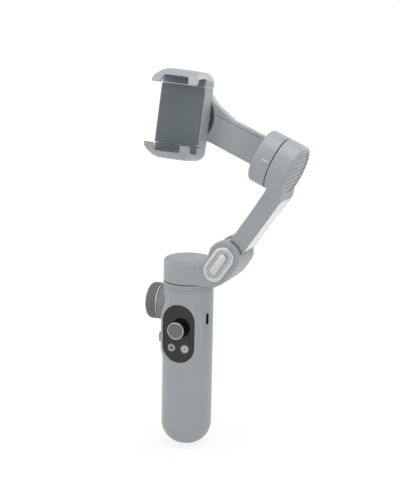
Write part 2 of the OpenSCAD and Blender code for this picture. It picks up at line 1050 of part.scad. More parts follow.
// Elbow block in world X and Z, its outer wall along the lower arm
module elbow_outline() {
    c = cos(arm_angle);
    s = sin(arm_angle);
    corner = [hinge_x - elbow_drop * c + ear_r * s, hinge_z - elbow_drop * s - ear_r * c];
    skirt_slope = (corner[1] - drum_z) / (corner[0] - skirt_x);
    polygon([
        [grip_r / 2, drum_top - drum_round],
        [grip_r / 2, drum_z],
        [skirt_x, drum_z],
        [corner[0] - elbow_chamfer, corner[1] - elbow_chamfer * skirt_slope],
        [corner[0] + elbow_chamfer * c, corner[1] + elbow_chamfer * s],
        [hinge_x + ear_r * s, hinge_z - ear_r * c],
        [hinge_x, hinge_z],
        [hinge_x - 0.93 * ear_r, hinge_z + 0.1 * ear_r],
        [grip_r - drum_round, drum_top]
    ]);
    translate([hinge_x, hinge_z])
        circle(ear_r);
}

module lock_prism(y0, y1, l, w) {
    on_front(y0)
        translate([hinge_x, hinge_z, 0])
            rotate([0, 0, arm_angle - 90])
                translate([0, -lock_shift, 0])
                    linear_extrude(y1 - y0)
                        stadium(l, w);
}

module yaw_drum() {
    color(shell_grey)
        difference() {
            union() {
                translate([0, 0, drum_z])
                    turned(grip_r, drum_h, drum_round);
                across(elbow_w)
                    elbow_outline();
            }
            translate([0, 0, drum_z - cut])
                cylinder(r = motor_cavity, h = yaw_face - drum_z + cut);
            translate([hinge_x, 0, hinge_z])
                rotate([90, 0, 0]) {
                    cylinder(r = tongue_r + seam, h = slot_w, center = true);
                    cylinder(r = pin_r, h = pin_l, center = true);
                    intersection() {
                        cylinder(r = slot_r, h = slot_w, center = true);
                        rotate([0, 0, arm_angle + ear_open])
                            translate([0, -slot_r, -slot_w])
                                cube([slot_r, 2 * slot_r, 2 * slot_w]);
                    }
                }
            translate([0, 0, drum_top - top_groove])
                tube(top_ring_r, top_ring_r - top_groove, drum_h);
            lock_prism(elbow_w / 2 - lock_depth, elbow_w, lock_l - 2 * lock_rim, lock_w - 2 * lock_rim);
        }
}

module fold_pin() {
    color(steel)
        translate([hinge_x, 0, hinge_z])
            rotate([90, 0, 0])
                cylinder(r = pin_r - run, h = pin_l - touch, center = true);
}

module lock_bezel() {
    color(bright_metal)
        difference() {
            lock_prism(elbow_w / 2, lock_face, lock_l, lock_w);
            lock_prism(0, 2 * elbow_w, lock_l - 2 * lock_rim, lock_w - 2 * lock_rim);
        }
}

module lock_button() {
    l = lock_l - 2 * lock_rim - 2 * lock_gap;
    w = lock_w - 2 * lock_rim - 2 * lock_gap;
    bar_in = lock_bar - lock_dish;
    color(bright_metal) {
        difference() {
            lock_prism(lock_face - lock_t, lock_face - lock_step, l, w);
            lock_prism(lock_face - 2 * lock_step, lock_face, l - bar_in, w - bar_in);
        }
        lock_prism(lock_face - lock_t / 2, lock_face + lock_step, l - lock_bar, w - lock_bar);
    }
}

module lock_spring() {
    room = lock_face - lock_t - elbow_w / 2 + lock_depth;
    end = spring_wire + touch;
    color(steel)
        on_front(elbow_w / 2 - lock_depth + end)
            translate([hinge_x, hinge_z, 0])
                rotate([0, 0, arm_angle - 90])
                    translate([0, -2 * lock_shift, 0])
                        coil_spring(spring_r, room - 2 * end, 3, spring_wire);
}

// Lower arm outline along the arm, and its plan
module arm_outline() {
    polygon([
        [0, arm_in],
        [arm_l - arm_end_in, arm_in],
        [arm_l - arm_end_top, arm_in + arm_end_rise],
        [arm_l - arm_end_tip, -arm_out + arm_end_tip],
        [arm_l - arm_end_out, -arm_out],
        [neck, -arm_out],
        [0, 0]
    ]);
}

module arm_plan() {
    polygon([
        [-ear_r, -arm_w / 2],
        [arm_flat, -arm_w / 2],
        [arm_flare_start, -arm_flare],
        [arm_l, -arm_flare],
        [arm_l, arm_flare],
        [arm_flare_start, arm_flare],
        [arm_flat, arm_w / 2],
        [-ear_r, arm_w / 2]
    ]);
}

module strip_plan(grow) {
    translate([(strip_start + strip_end) / 2, 0])
        round_rect(strip_end - strip_start + 2 * grow, strip_w + 2 * grow, 2 + grow);
}

module lower_arm() {
    color(shell_grey)
        difference() {
            union() {
                at_arm()
                    difference() {
                        intersection() {
                            across(2 * tilt_r)
                                arm_outline();
                            translate([0, 0, -arm_l])
                                linear_extrude(2 * arm_l)
                                    arm_plan();
                        }
                        for (s = [-1, 1])
                            translate([0, s * (tongue_w / 2 + arm_w), 0])
                                rotate([90, 0, 0])
                                    cylinder(r = arm_clear, h = 2 * arm_w, center = true);
                        translate([0, 0, -arm_out - cut])
                            linear_extrude(strip_t + cut)
                                strip_plan(touch);
                    }
                at_arm()
                    rotate([90, 0, 0])
                        cylinder(r = tongue_r, h = tongue_w, center = true);
                at_tilt()
                    translate([0, 0, half_seam])
                        turned(tilt_r, tilt_right - half_seam, drum_round);
            }
            at_arm()
                rotate([90, 0, 0])
                    cylinder(r = pin_r + touch, h = 2 * arm_w, center = true);
            at_tilt() {
                translate([0, 0, -tilt_r])
                    cylinder(r = housing_r, h = tilt_r + floor_s);
                translate([0, 0, floor_s + floor_t])
                    cylinder(r = plate_r - 1.5, h = tilt_r);
                translate([0, 0, tilt_right - plate_t - plate_in])
                    cylinder(r = plate_r, h = tilt_r);
                translate([0, 0, floor_s - cut])
                    cylinder(r = cable_r, h = tilt_r);
            }
        }
}

module arm_strip() {
    color(bright_metal)
        at_arm()
            translate([0, 0, -arm_out])
                linear_extrude(strip_t)
                    strip_plan(0);
}

module tilt_end_plate() {
    pitch = 2 * plate_r / (rib_count + 1);
    z0 = tilt_right - plate_t - plate_in;
    color(shell_grey)
        at_tilt()
            intersection() {
                translate([0, 0, z0])
                    cylinder(r = plate_r - touch, h = plate_t + plate_in);
                union() {
                    translate([-tilt_r, -tilt_r, z0])
                        cube([2 * tilt_r, 2 * tilt_r, plate_t - 0.2]);
                    for (i = [1 : rib_count])
                        translate([-plate_r + i * pitch - rib_w / 2, -tilt_r, z0])
                            cube([rib_w, 2 * tilt_r, plate_t + plate_in - 0.2]);
                }
            }
}

// Tilt motor, inside the upper arm's half of the housing
module at_tilt_motor() {
    at_tilt()
        translate([0, 0, -tilt_face])
            children();
}

module tilt_stator() {
    color(steel)
        at_tilt_motor()
            motor_stator(tilt_base);
}

module tilt_coils() {
    color(copper)
        at_tilt_motor()
            motor_coils();
}

module tilt_bearings() {
    color(bright_metal)
        at_tilt_motor()
            motor_bearings(tilt_base);
}

module tilt_magnets() {
    color(dark_grey)
        at_tilt_motor()
            motor_magnets();
}

module tilt_shaft() {
    color(steel)
        at_tilt_motor()
            motor_shaft(tilt_base);
}

// Upper arm
module upper_arm() {
    color(shell_grey)
        difference() {
            union() {
                at_upper() {
                    translate([0, 0, -half_seam])
                        rotate([180, 0, 0])
                            turned(tilt_r, tilt_left - half_seam, drum_round);
                    translate([-bar_w / 2 - bar_up, 0, -bar_l])
                        cube([bar_w, bar_t, bar_l - tilt_left + 1.5]);
                    translate([0, bar_t, -bar_l])
                        rotate([90, 0, 0])
                            linear_extrude(bar_t)
                                polygon([
                                    [0, 0],
                                    [-bar_w / 2, web_l],
                                    [-bar_w / 2 - bar_up, web_l],
                                    [-head_r * cos(web_turn), head_r * sin(web_turn)]
                                ]);
                }
                at_roll()
                    translate([0, 0, -head_front])
                        turned(head_r, head_front + head_back, head_round);
            }
            at_upper() {
                translate([0, 0, -tilt_face])
                    cylinder(r = motor_cavity, h = tilt_face + cut);
                translate([-cover_w / 2 - bar_up, -cut, -cover_end])
                    cube([cover_w, cover_t + cut, cover_end - cover_start]);
            }
            at_roll() {
                translate([0, 0, -head_front - cut])
                    cylinder(r = motor_cavity, h = motor_l - roll_face + head_front + cut);
                translate([0, 0, head_back - cap_disc_t])
                    cylinder(r = cap_disc_r, h = cut + cap_disc_t);
            }
        }
}

module arm_cover() {
    color(shell_grey)
        at_upper()
            translate([-cover_w / 2 - bar_up + touch, 0, -cover_end + touch])
                cube([cover_w - 2 * touch, cover_t, cover_end - cover_start - 2 * touch]);
}

module head_cap() {
    color(shell_grey)
        at_roll()
            translate([0, 0, head_back - cap_disc_t])
                difference() {
                    turned(cap_disc_r - touch, cap_disc_t + 0.8, 0.8);
                    translate([0, 0, cap_disc_t + 0.5])
                        tube(cap_disc_r - 3, cap_disc_r - 3.8, 1);
                }
}

// Roll motor, inside the head
module at_roll_motor() {
    at_roll()
        translate([0, 0, -roll_face])
            children();
}

module roll_stator() {
    color(steel)
        at_roll_motor()
            motor_stator(0);
}

module roll_coils() {
    color(copper)
        at_roll_motor()
            motor_coils();
}

module roll_bearings() {
    color(bright_metal)
        at_roll_motor()
            motor_bearings(0);
}

module roll_magnets() {
    color(dark_grey)
        at_roll_motor()
            motor_magnets();
}

module roll_shaft() {
    color(steel)
        at_roll_motor()
            translate([0, 0, -back_wall])
                cylinder(r = shaft_r, h = motor_l + back_wall - touch);
}

// Clamp
module rack_bar(grow) {
    translate([pinion_r + tooth_in - grow, -gear_y - pinion_t - grow, -rack_tail])
        cube([rack_w + 2 * grow, pinion_t + 2 * grow, jaw_z0 + rack_tail + cut / 2]);
}

module rack_teeth() {
    first = -floor(rack_tail / tooth_pitch);
    for (i = [first : -first - 1])
        translate([0, -gear_y, (i + 0.5) * tooth_pitch])
            rotate([90, 0, 0])
                linear_extrude(pinion_t)
                    polygon([
                        [pinion_r + tooth_in + cut / 2, -tooth_base / 2],
                        [pinion_r + tooth_in + cut / 2, tooth_base / 2],
                        [pinion_r - tooth_out, tooth_tip / 2],
                        [pinion_r - tooth_out, -tooth_tip / 2]
                    ]);
}

module pad_outline(grow) {
    rim = 2 * (pad_rim - grow);
    round_rect(clamp_w - rim, clamp_h - rim, pad_round + grow);
}

module clamp_frame() {
    color(shell_grey)
        at_clamp()
            difference() {
                union() {
                    difference() {
                        on_front(roll_face)
                            linear_extrude(clamp_d + pad_t)
                                round_rect(clamp_w, clamp_h, frame_round);
                        on_front(frame_front)
                            linear_extrude(pad_t + cut)
                                pad_outline(touch);
                        translate([-inner_x, -frame_front + front_wall, -inner_z])
                            cube([2 * inner_x, clamp_d - front_wall - back_wall, 2 * inner_z]);
                        for (turn = [0, 180])
                            rotate([0, turn, 0])
                                translate([pinion_r - tooth_out - slip, -gear_y - pinion_t - slip, 0])
                                    cube([rack_room, pinion_t + 2 * slip, clamp_h]);
                    }
                    on_front(gear_y - cut)
                        cylinder(r = axle_r, h = frame_front - gear_y);
                }
                translate([0, 0, -clamp_rise])
                    rotate([90, 0, 0])
                        cylinder(r = shaft_r + touch, h = 2 * (roll_face + back_wall), center = true);
            }
}

module clamp_pad() {
    color(rubber_grey)
        at_clamp()
            on_front(frame_front)
                linear_extrude(pad_t)
                    pad_outline(0);
}

module jaw_pinion() {
    color(steel)
        at_clamp()
            on_front(gear_y)
                difference() {
                    union() {
                        cylinder(r = pinion_r - tooth_in, h = pinion_t);
                        linear_extrude(pinion_t)
                            for (i = [0 : pinion_teeth - 1])
                                rotate([0, 0, i * 360 / pinion_teeth])
                                    polygon([
                                        [pinion_r - tooth_in - cut, -tooth_base / 2],
                                        [pinion_r + tooth_out, -tooth_tip / 2],
                                        [pinion_r + tooth_out, tooth_tip / 2],
                                        [pinion_r - tooth_in - cut, tooth_base / 2]
                                    ]);
                    }
                    translate([0, 0, -cut])
                        cylinder(r = axle_r + touch, h = pinion_t + 2 * cut);
                }
}

module jaw_springs() {
    color(steel)
        at_clamp()
            for (s = [-1, 1])
                translate([s * jaw_spring_x, -jaw_spring_y, -inner_z + spring_wire + touch])
                    coil_spring(jaw_spring_r, 2 * (inner_z - spring_wire - touch), 9, spring_wire);
}

// Side view of a jaw: hood over the phone slot, its front falling in an arc to the claw's tip
module jaw_side() {
    difference() {
        union() {
            translate([-hood_x, jaw_z0])
                square([hood_x - roll_face, jaw_h]);
            intersection() {
                translate([-hood_x, hood_z])
                    circle(hood_r);
                translate([-jaw_front, claw_z0])
                    square([jaw_front - hood_x + cut, jaw_top - claw_z0]);
            }
        }
        polygon([
            [-pad_face, claw_z0 - cut],
            [-jaw_front + jaw_t, claw_z0 - cut],
            [-pad_face - slot_d, jaw_top - hood_t],
            [-pad_face, jaw_top - hood_t]
        ]);
    }
}

// Front view of a jaw: rounded outer corners
module jaw_front_view() {
    translate([-clamp_w / 2, 0])
        square([clamp_w, jaw_top - jaw_round]);
    translate([-clamp_w / 2 + jaw_round, 0])
        square([clamp_w - 2 * jaw_round, jaw_top]);
    for (s = [-1, 1])
        translate([s * (clamp_w / 2 - jaw_round), jaw_top - jaw_round])
            circle(jaw_round);
}

// Jaw from above: rounded front corners
module jaw_top_view() {
    translate([-clamp_w / 2, -jaw_front + claw_round])
        square([clamp_w, jaw_front - claw_round]);
    translate([-clamp_w / 2 + claw_round, -jaw_front])
        square([clamp_w - 2 * claw_round, jaw_front]);
    for (s = [-1, 1])
        translate([s * (clamp_w / 2 - claw_round), -jaw_front + claw_round])
            circle(claw_round);
}

module jaw() {
    scoop_r = clamp_w / 2 - claw_w;
    difference() {
        intersection() {
            rotate([90, 0, 90])
                linear_extrude(clamp_w, center = true)
                    jaw_side();
            on_front(0)
                linear_extrude(2 * jaw_front)
                    jaw_front_view();
            linear_extrude(2 * jaw_top)
                jaw_top_view();
        }
        on_front(pad_face + slot_d / 2)
            translate([0, jaw_z0, 0])
                intersection() {
                    cylinder(r = scoop_r, h = jaw_front);
                    translate([-scoop_r, -scoop_r, 0])
                        cube([2 * scoop_r, scoop_r + jaw_h - hood_t, jaw_front]);
                }
    }
    rack_bar(0);
    rack_teeth();
}

module jaw_grip() {
    color(rubber_grey)
        translate([0, -pad_face - slot_d / 2, jaw_top - hood_t - grip_t])
            linear_extrude(grip_t)
                round_rect(clamp_w - 2 * grip_margin, grip_d, grip_round);
}

module upper_jaw() {
    color(shell_grey)
        at_clamp()
            jaw();
}

module upper_jaw_grip() {
    at_clamp()
        jaw_grip();
}

module lower_jaw() {
    color(shell_grey)
        at_clamp()
            rotate([0, 180, 0])
                jaw();
}

module lower_jaw_grip() {
    at_clamp()
        rotate([0, 180, 0])
            jaw_grip();
}

grip_shell();
grip_collar();
tripod_insert();
battery_cell();
battery_cradle();
main_board();
thumb_panel();
joystick_socket();
joystick_yoke();
joystick_stick();
record_button();
record_dot();
mode_button();
tact_switches();
charging_socket();
wheel_base();
wheel_spindle();
zoom_wheel();
wheel_trim();
side_button_frame();
side_button();
yaw_stator();
yaw_coils();
yaw_bearings();
yaw_screws();
yaw_magnets();
yaw_shaft();
yaw_drum();
fold_pin();
lock_bezel();
lock_button();
lock_spring();
lower_arm();
arm_strip();
tilt_end_plate();
tilt_stator();
tilt_coils();
tilt_bearings();
tilt_magnets();
tilt_shaft();
upper_arm();
arm_cover();
head_cap();
roll_stator();
roll_coils();
roll_bearings();
roll_magnets();
roll_shaft();
clamp_frame();
clamp_pad();
jaw_pinion();
jaw_springs();
upper_jaw();
upper_jaw_grip();
lower_jaw();
lower_jaw_grip();
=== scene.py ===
import json
import math

import bpy
from mathutils import Matrix, Vector


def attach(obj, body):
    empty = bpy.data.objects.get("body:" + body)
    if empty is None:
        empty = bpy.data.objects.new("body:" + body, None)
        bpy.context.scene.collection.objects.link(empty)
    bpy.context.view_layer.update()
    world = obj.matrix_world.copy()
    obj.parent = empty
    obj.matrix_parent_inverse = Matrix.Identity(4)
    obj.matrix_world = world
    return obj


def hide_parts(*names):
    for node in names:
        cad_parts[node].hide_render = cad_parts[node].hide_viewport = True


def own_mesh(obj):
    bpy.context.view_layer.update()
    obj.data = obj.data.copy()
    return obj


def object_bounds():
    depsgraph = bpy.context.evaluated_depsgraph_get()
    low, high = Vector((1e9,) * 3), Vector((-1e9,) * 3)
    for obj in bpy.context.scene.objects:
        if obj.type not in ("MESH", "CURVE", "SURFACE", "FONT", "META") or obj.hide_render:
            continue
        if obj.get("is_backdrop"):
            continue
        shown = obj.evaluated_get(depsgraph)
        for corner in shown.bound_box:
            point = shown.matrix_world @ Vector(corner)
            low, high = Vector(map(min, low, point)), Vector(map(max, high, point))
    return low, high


mm = 0.001
hair = 0.01  # mm, for picking edges on a face
weld = dict(fine=1e-7, plain=1e-6, cad=2e-6)  # m, for merging vertices
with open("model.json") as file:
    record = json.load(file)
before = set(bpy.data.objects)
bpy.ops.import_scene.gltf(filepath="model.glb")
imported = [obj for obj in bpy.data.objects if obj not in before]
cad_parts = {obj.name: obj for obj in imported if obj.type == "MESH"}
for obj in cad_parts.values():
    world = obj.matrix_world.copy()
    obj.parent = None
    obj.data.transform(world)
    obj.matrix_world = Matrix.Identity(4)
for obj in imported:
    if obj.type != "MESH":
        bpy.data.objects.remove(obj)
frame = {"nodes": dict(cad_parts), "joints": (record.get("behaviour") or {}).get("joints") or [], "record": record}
cadLow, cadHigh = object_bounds()
nodes = frame["nodes"]
joints = {j["name"]: j for j in frame["joints"]}
bpy.ops.object.select_all(action="DESELECT")
print("frame loaded:", len(nodes), "nodes")


# ways of working on a mesh

def activate(piece):
    bpy.ops.object.select_all(action="DESELECT")
    piece.select_set(True)
    bpy.context.view_layer.objects.active = piece


def newest(name):
    piece = bpy.context.active_object
    piece.name = name
    piece.data.name = name
    return piece


def pickVerts(piece, test):
    bpy.ops.object.mode_set(mode="OBJECT")
    for v in piece.data.vertices:
        v.select = bool(test(v.co))
    for e in piece.data.edges:
        e.select = all(piece.data.vertices[i].select for i in e.vertices)
    for f in piece.data.polygons:
        f.select = all(piece.data.vertices[i].select for i in f.vertices)
    bpy.ops.object.mode_set(mode="EDIT")


def pickEdges(piece, test):
    bpy.ops.object.mode_set(mode="OBJECT")
    verts = piece.data.vertices
    for v in verts:
        v.select = False
    for f in piece.data.polygons:
        f.select = False
    for e in piece.data.edges:
        a, b = (verts[i].co for i in e.vertices)
        e.select = bool(test(a, b))
    bpy.ops.object.mode_set(mode="EDIT")
    bpy.ops.mesh.select_mode(type="EDGE")


def editMode(piece):
    activate(piece)
    bpy.ops.object.mode_set(mode="EDIT")
    bpy.ops.mesh.select_mode(type="VERT")


def objectMode():
    bpy.ops.object.mode_set(mode="OBJECT")


def applyMod(piece, kind, name, **values):
    activate(piece)
    mod = piece.modifiers.new(name, kind)
    for key, value in values.items():
        setattr(mod, key, value)
    bpy.ops.object.modifier_apply(modifier=mod.name)


def carve(piece, cutter, operation="DIFFERENCE"):
    applyMod(piece, "BOOLEAN", "carve", operation=operation, solver="MANIFOLD", object=cutter)
    bpy.data.objects.remove(cutter, do_unlink=True)


def settle(piece, place):
    activate(piece)
    piece.matrix_world = place @ piece.matrix_world
    bpy.ops.object.transform_apply(location=True, rotation=True, scale=True)


def tidyMesh(piece, threshold=weld["plain"]):
    editMode(piece)
    bpy.ops.mesh.select_all(action="SELECT")
    bpy.ops.mesh.remove_doubles(threshold=threshold)
    bpy.ops.mesh.normals_make_consistent(inside=False)
    objectMode()


def smoothShade(piece, angle=40):
    activate(piece)
    bpy.ops.object.shade_smooth_by_angle(angle=math.radians(angle))


def dress(piece, body, slot, replaced=(), look=None):
    piece.data.materials.clear()
    piece.data.materials.append(finishes[look or slot])
    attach(piece, body)
    if replaced:
        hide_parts(*replaced)
    print("piece:", piece.name, len(piece.data.polygons), "faces on", body)
    return piece


def lathe(name, profile, steps=96):
    # profile of (radius, height), spun round local Z
    bpy.ops.mesh.primitive_plane_add(size=mm)
    piece = newest(name)
    editMode(piece)
    bpy.ops.mesh.select_all(action="SELECT")
    bpy.ops.mesh.merge(type="CENTER")
    last = Vector((0, 0, 0))
    for i, (r, h) in enumerate(profile):
        step = Vector((r, 0, h)) * mm - last
        if i == 0:
            bpy.ops.transform.translate(value=step)
        else:
            bpy.ops.mesh.extrude_vertices_move(TRANSFORM_OT_translate={"value": step})
        last += step
    bpy.ops.mesh.select_all(action="SELECT")
    bpy.ops.mesh.spin(steps=steps, angle=2 * math.pi, center=(0, 0, 0), axis=(0, 0, 1))
    objectMode()
    tidyMesh(piece)
    return piece


def arcPoints(r, h, radius, start, end, count=6):
    turns = [math.radians(start + (end - start) * i / count) for i in range(count + 1)]
    return [(r + radius * math.cos(t), h + radius * math.sin(t)) for t in turns]


def ease(t):
    t = min(1.0, max(0.0, t))
    return t * t * (3 - 2 * t)


def cadCopy(node, name):
    piece = bpy.data.objects.new(name, nodes[node].data.copy())
    bpy.context.scene.collection.objects.link(piece)
    tidyMesh(piece, weld["cad"])
    return piece


# frames of the moving bodies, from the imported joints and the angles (in degrees) of arm, tilt and head

def axesFrame(origin, x, y, z):
    turn = Matrix((x, y, z)).transposed().to_4x4()
    return Matrix.Translation(origin) @ turn


lean = dict(arm=55.5, tilt=112.5, pitch=10, clampRise=0.4)
hinge = Vector(joints["fold"]["pos_m"])
tiltCentre = Vector(joints["tilt"]["pos_m"])
rollCentre = Vector(joints["roll"]["pos_m"])
phoneFace = Vector(joints["roll"]["axis"])
clampUp = Vector(joints["upper_jaw_slide"]["axis"])
clampSide = (-phoneFace).cross(clampUp)
clampFrame = axesFrame(rollCentre + clampUp * lean["clampRise"] * mm, clampSide, -phoneFace, clampUp)
armAngle = math.radians(lean["arm"])
tiltTurn = math.radians(lean["tilt"])
tiltFrame = axesFrame(tiltCentre, Vector((math.cos(tiltTurn), 0, -math.sin(tiltTurn))), Vector((0, 1, 0)),
                      Vector((math.sin(tiltTurn), 0, math.cos(tiltTurn))))
barFrame = tiltFrame @ Matrix.Rotation(-math.radians(lean["pitch"]), 4, "Z")
lockFrame = axesFrame(hinge, Vector((math.sin(armAngle), 0, -math.cos(armAngle))),
                      Vector((math.cos(armAngle), 0, math.sin(armAngle))), Vector((0, -1, 0)))


# finishes: a look for each material slot, then some for single pieces

looks = {
    "shell": dict(colour=(0.37, 0.385, 0.392), varied=0.035,
                  rough=(0.38, 0.46), grain=2600, depth=0.05, edge=0.05),
    "dark_plastic": dict(colour=(0.05, 0.053, 0.055), varied=0.15,
                         rough=(0.42, 0.55), grain=1800, depth=0.1, edge=0.03),
    "gloss_black": dict(colour=(0.009, 0.009, 0.01), varied=0.1,
                        rough=(0.08, 0.12), grain=300, depth=0.01, edge=0.0),
    "light_key": dict(colour=(0.37, 0.365, 0.37), varied=0.05,
                      rough=(0.3, 0.4), grain=2600, depth=0.04, edge=0.03),
    "red_dot": dict(colour=(0.24, 0.025, 0.045), varied=0.1,
                    rough=(0.3, 0.4), grain=2200, depth=0.04, edge=0.0),
    "bright_trim": dict(colour=(0.72, 0.73, 0.74), varied=0.04,
                        rough=(0.24, 0.34), grain=900, depth=0.05, edge=0.04, metallic=0.85, brush=(1, 18, 18)),
    "rubber_pad": dict(colour=(0.145, 0.172, 0.184), varied=0.08,
                       rough=(0.55, 0.7), grain=2000, depth=0.18, edge=0.02),
    "steel": dict(colour=(0.5, 0.5, 0.52), varied=0.08,
                  rough=(0.25, 0.38), grain=1200, depth=0.05, edge=0.0, metallic=1.0),
    "copper_wire": dict(colour=(0.6, 0.26, 0.1), varied=0.15,
                        rough=(0.3, 0.42), grain=1500, depth=0.1, edge=0.0, metallic=1.0),
    "cell_wrap": dict(colour=(0.05, 0.12, 0.3), varied=0.08,
                      rough=(0.2, 0.3), grain=600, depth=0.03, edge=0.0),
    "board": dict(colour=(0.015, 0.09, 0.045), varied=0.2,
                  rough=(0.3, 0.45), grain=900, depth=0.06, edge=0.0),
    "wheelGrey": dict(colour=(0.136, 0.14, 0.143), varied=0.08,
                      rough=(0.5, 0.62), grain=2200, depth=0.12, edge=0.03),
    "baseGrey": dict(colour=(0.24, 0.25, 0.256), varied=0.06,
                     rough=(0.45, 0.55), grain=2200, depth=0.08, edge=0.03),
    "turnedFace": dict(colour=(0.15, 0.158, 0.163), varied=0.06,
                       rough=(0.3, 0.4), grain=1600, depth=0.04, edge=0.0, metallic=0.5),
    "satinLock": dict(colour=(0.54, 0.55, 0.56), varied=0.05,
                      rough=(0.22, 0.32), grain=900, depth=0.06, edge=0.04, metallic=0.95, brush=(1, 18, 18)),
    # painted shade: near-black steel for the charging socket, standing in for the shade inside its hole
    "shadedSocketSteel": dict(colour=(0.05, 0.05, 0.053), varied=0.1,
                      rough=(0.3, 0.4), grain=1200, depth=0.05, edge=0.0, metallic=0.8),
    "paleMark": dict(colour=(0.8, 0.8, 0.8), varied=0.03,
                     rough=(0.4, 0.5), grain=2200, depth=0.03, edge=0.0),
}


paint = dict(cloud=45, cloudDetail=4, cloudRough=0.55, grainDetail=2, grainRough=0.6, ramp=(0.3, 0.7),
             worn=(0.52, 0.6), wornGain=3, paler=1.25, lift=0.02, bump=0.0002)


def makeFinish(name, look):
    mat = bpy.data.materials.new(name)
    mat.use_nodes = True
    tree = mat.node_tree
    shader = tree.nodes["Principled BSDF"]
    link = tree.links.new

    def add(kind, **inputs):
        node = tree.nodes.new(kind)
        for key, value in inputs.items():
            node.inputs[key.replace("_", " ")].default_value = value
        return node

    coords = tree.nodes.new("ShaderNodeTexCoord")
    stretch = add("ShaderNodeMapping", Scale=look.get("brush", (1, 1, 1)))
    link(coords.outputs["Object"], stretch.inputs["Vector"])
    cloud = add("ShaderNodeTexNoise", Scale=paint["cloud"], Detail=paint["cloudDetail"],
                Roughness=paint["cloudRough"])
    link(coords.outputs["Object"], cloud.inputs["Vector"])
    grain = add("ShaderNodeTexNoise", Scale=look["grain"], Detail=paint["grainDetail"],
                Roughness=paint["grainRough"])
    link(stretch.outputs["Vector"], grain.inputs["Vector"])
    low = tuple(c * (1 - look["varied"]) for c in look["colour"]) + (1,)
    high = tuple(min(1, c * (1 + look["varied"])) for c in look["colour"]) + (1,)
    ramp = tree.nodes.new("ShaderNodeValToRGB")
    for stop, position, tint in zip(ramp.color_ramp.elements, paint["ramp"], (low, high)):
        stop.position = position
        stop.color = tint
    link(cloud.outputs["Fac"], ramp.inputs["Fac"])
    colour = ramp.outputs["Color"]
    if look["edge"]:  # worn, paler edges
        shape = tree.nodes.new("ShaderNodeNewGeometry")
        worn = add("ShaderNodeMapRange", From_Min=paint["worn"][0], From_Max=paint["worn"][1],
                   To_Min=0.0, To_Max=look["edge"] * paint["wornGain"])
        link(shape.outputs["Pointiness"], worn.inputs["Value"])
        mix = tree.nodes.new("ShaderNodeMix")
        mix.data_type = "RGBA"
        # a colour mix has its factor at 0, its colours at 6 and 7, and its result at 2
        pale = tuple(min(1, c * paint["paler"] + paint["lift"]) for c in look["colour"]) + (1,)
        mix.inputs[7].default_value = pale
        link(worn.outputs["Result"], mix.inputs[0])
        link(colour, mix.inputs[6])
        colour = mix.outputs[2]
    link(colour, shader.inputs["Base Color"])
    rough = add("ShaderNodeMapRange", To_Min=look["rough"][0], To_Max=look["rough"][1])
    link(cloud.outputs["Fac"], rough.inputs["Value"])
    link(rough.outputs["Result"], shader.inputs["Roughness"])
    bump = add("ShaderNodeBump", Strength=look["depth"], Distance=paint["bump"])
    link(grain.outputs["Fac"], bump.inputs["Height"])
    link(bump.outputs["Normal"], shader.inputs["Normal"])
    shader.inputs["Metallic"].default_value = look.get("metallic", 0.0)
    return mat


finishes = {name: makeFinish(name, look) for name, look in looks.items()}
# painted shade: the charging socket takes the darkened steel, for the shade inside its hole
cadLooks = {"charging_socket": "shadedSocketSteel"}
for row in frame["record"]["subparts"]:
    cadPiece = nodes[row["node"]]
    cadPiece.data.materials.clear()
    cadPiece.data.materials.append(finishes[cadLooks.get(row["node"], row["material_slot"])])
    smoothShade(cadPiece, 30)
print("finishes:", len(finishes))


# grip shell: a grid rolled into a tube, swelling round the thumb panel

grip = dict(radius=20, top=127.1, foot=18, mouth=5.05, wall=2.2, panelZ=94.8, panelW=27, panelL=47, faceY=19.2,
            rim=1.1, flare=8.0, around=176, along=140)


def gripPoint(u, v):
    arc = grip["foot"] * math.pi / 2
    straight = grip["top"] - grip["foot"]
    start = math.asin((grip["mouth"] - grip["radius"] + grip["foot"]) / grip["foot"]) * grip["foot"]
    d = start + v * (arc - start + straight)
    if d < arc:
        r = grip["radius"] - grip["foot"] + grip["foot"] * math.sin(d / grip["foot"])
        z = grip["foot"] - grip["foot"] * math.cos(d / grip["foot"])
    else:
        r, z = grip["radius"], grip["foot"] + d - arc
    angle = (u - 0.5) * 2 * math.pi
    side = abs(angle)
    reach = grip["panelW"] / 2 + grip["rim"]
    edge = math.atan2(reach, grip["faceY"])
    half = (grip["panelL"] - grip["panelW"]) / 2
    across = max(0.0, side - edge) * grip["radius"] + min(side, edge) / edge * reach
    up = max(0.0, abs(z - grip["panelZ"]) - half)
    away = math.hypot(across, up) - reach
    t = ease(away / grip["flare"])
    flat = grip["faceY"] / math.cos(min(side, edge))
    r = flat * (1 - t) + r * t
    return Vector((r * math.sin(angle), -r * math.cos(angle), z)) * mm


bpy.ops.mesh.primitive_grid_add(x_subdivisions=grip["around"], y_subdivisions=grip["along"], size=1)
gripShell = newest("gripShell")
for v in gripShell.data.vertices:
    v.co = gripPoint(v.co.x + 0.5, v.co.y + 0.5)
editMode(gripShell)
bpy.ops.mesh.select_all(action="SELECT")
bpy.ops.mesh.remove_doubles(threshold=weld["plain"])
objectMode()
applyMod(gripShell, "SOLIDIFY", "wall", thickness=grip["wall"] * mm, offset=-1)


def stadium(name, length, width, depth, segments=96):
    # upright pill, along local Y, its front at local z = depth
    bpy.ops.mesh.primitive_cylinder_add(vertices=segments, radius=width / 2 * mm, depth=depth * mm,
                                        location=(0, 0, depth / 2 * mm))
    piece = newest(name)
    bpy.ops.object.transform_apply(location=True, rotation=True, scale=True)
    editMode(piece)
    for sign in (1, -1):
        pickVerts(piece, lambda co: co.y * sign > -sign * weld["fine"])
        bpy.ops.transform.translate(value=(0, sign * (length - width) / 2 * mm, 0))
    objectMode()
    return piece


def frontFrame(x, z, y):
    return axesFrame(Vector((x, -y, z)) * mm, Vector((1, 0, 0)), Vector((0, 0, 1)), Vector((0, -1, 0)))


def sideFrame(x, z):
    out = math.copysign(1, x)
    return axesFrame(Vector((x, 0, z)) * mm, Vector((0, out, 0)), Vector((0, 0, 1)), Vector((out, 0, 0)))


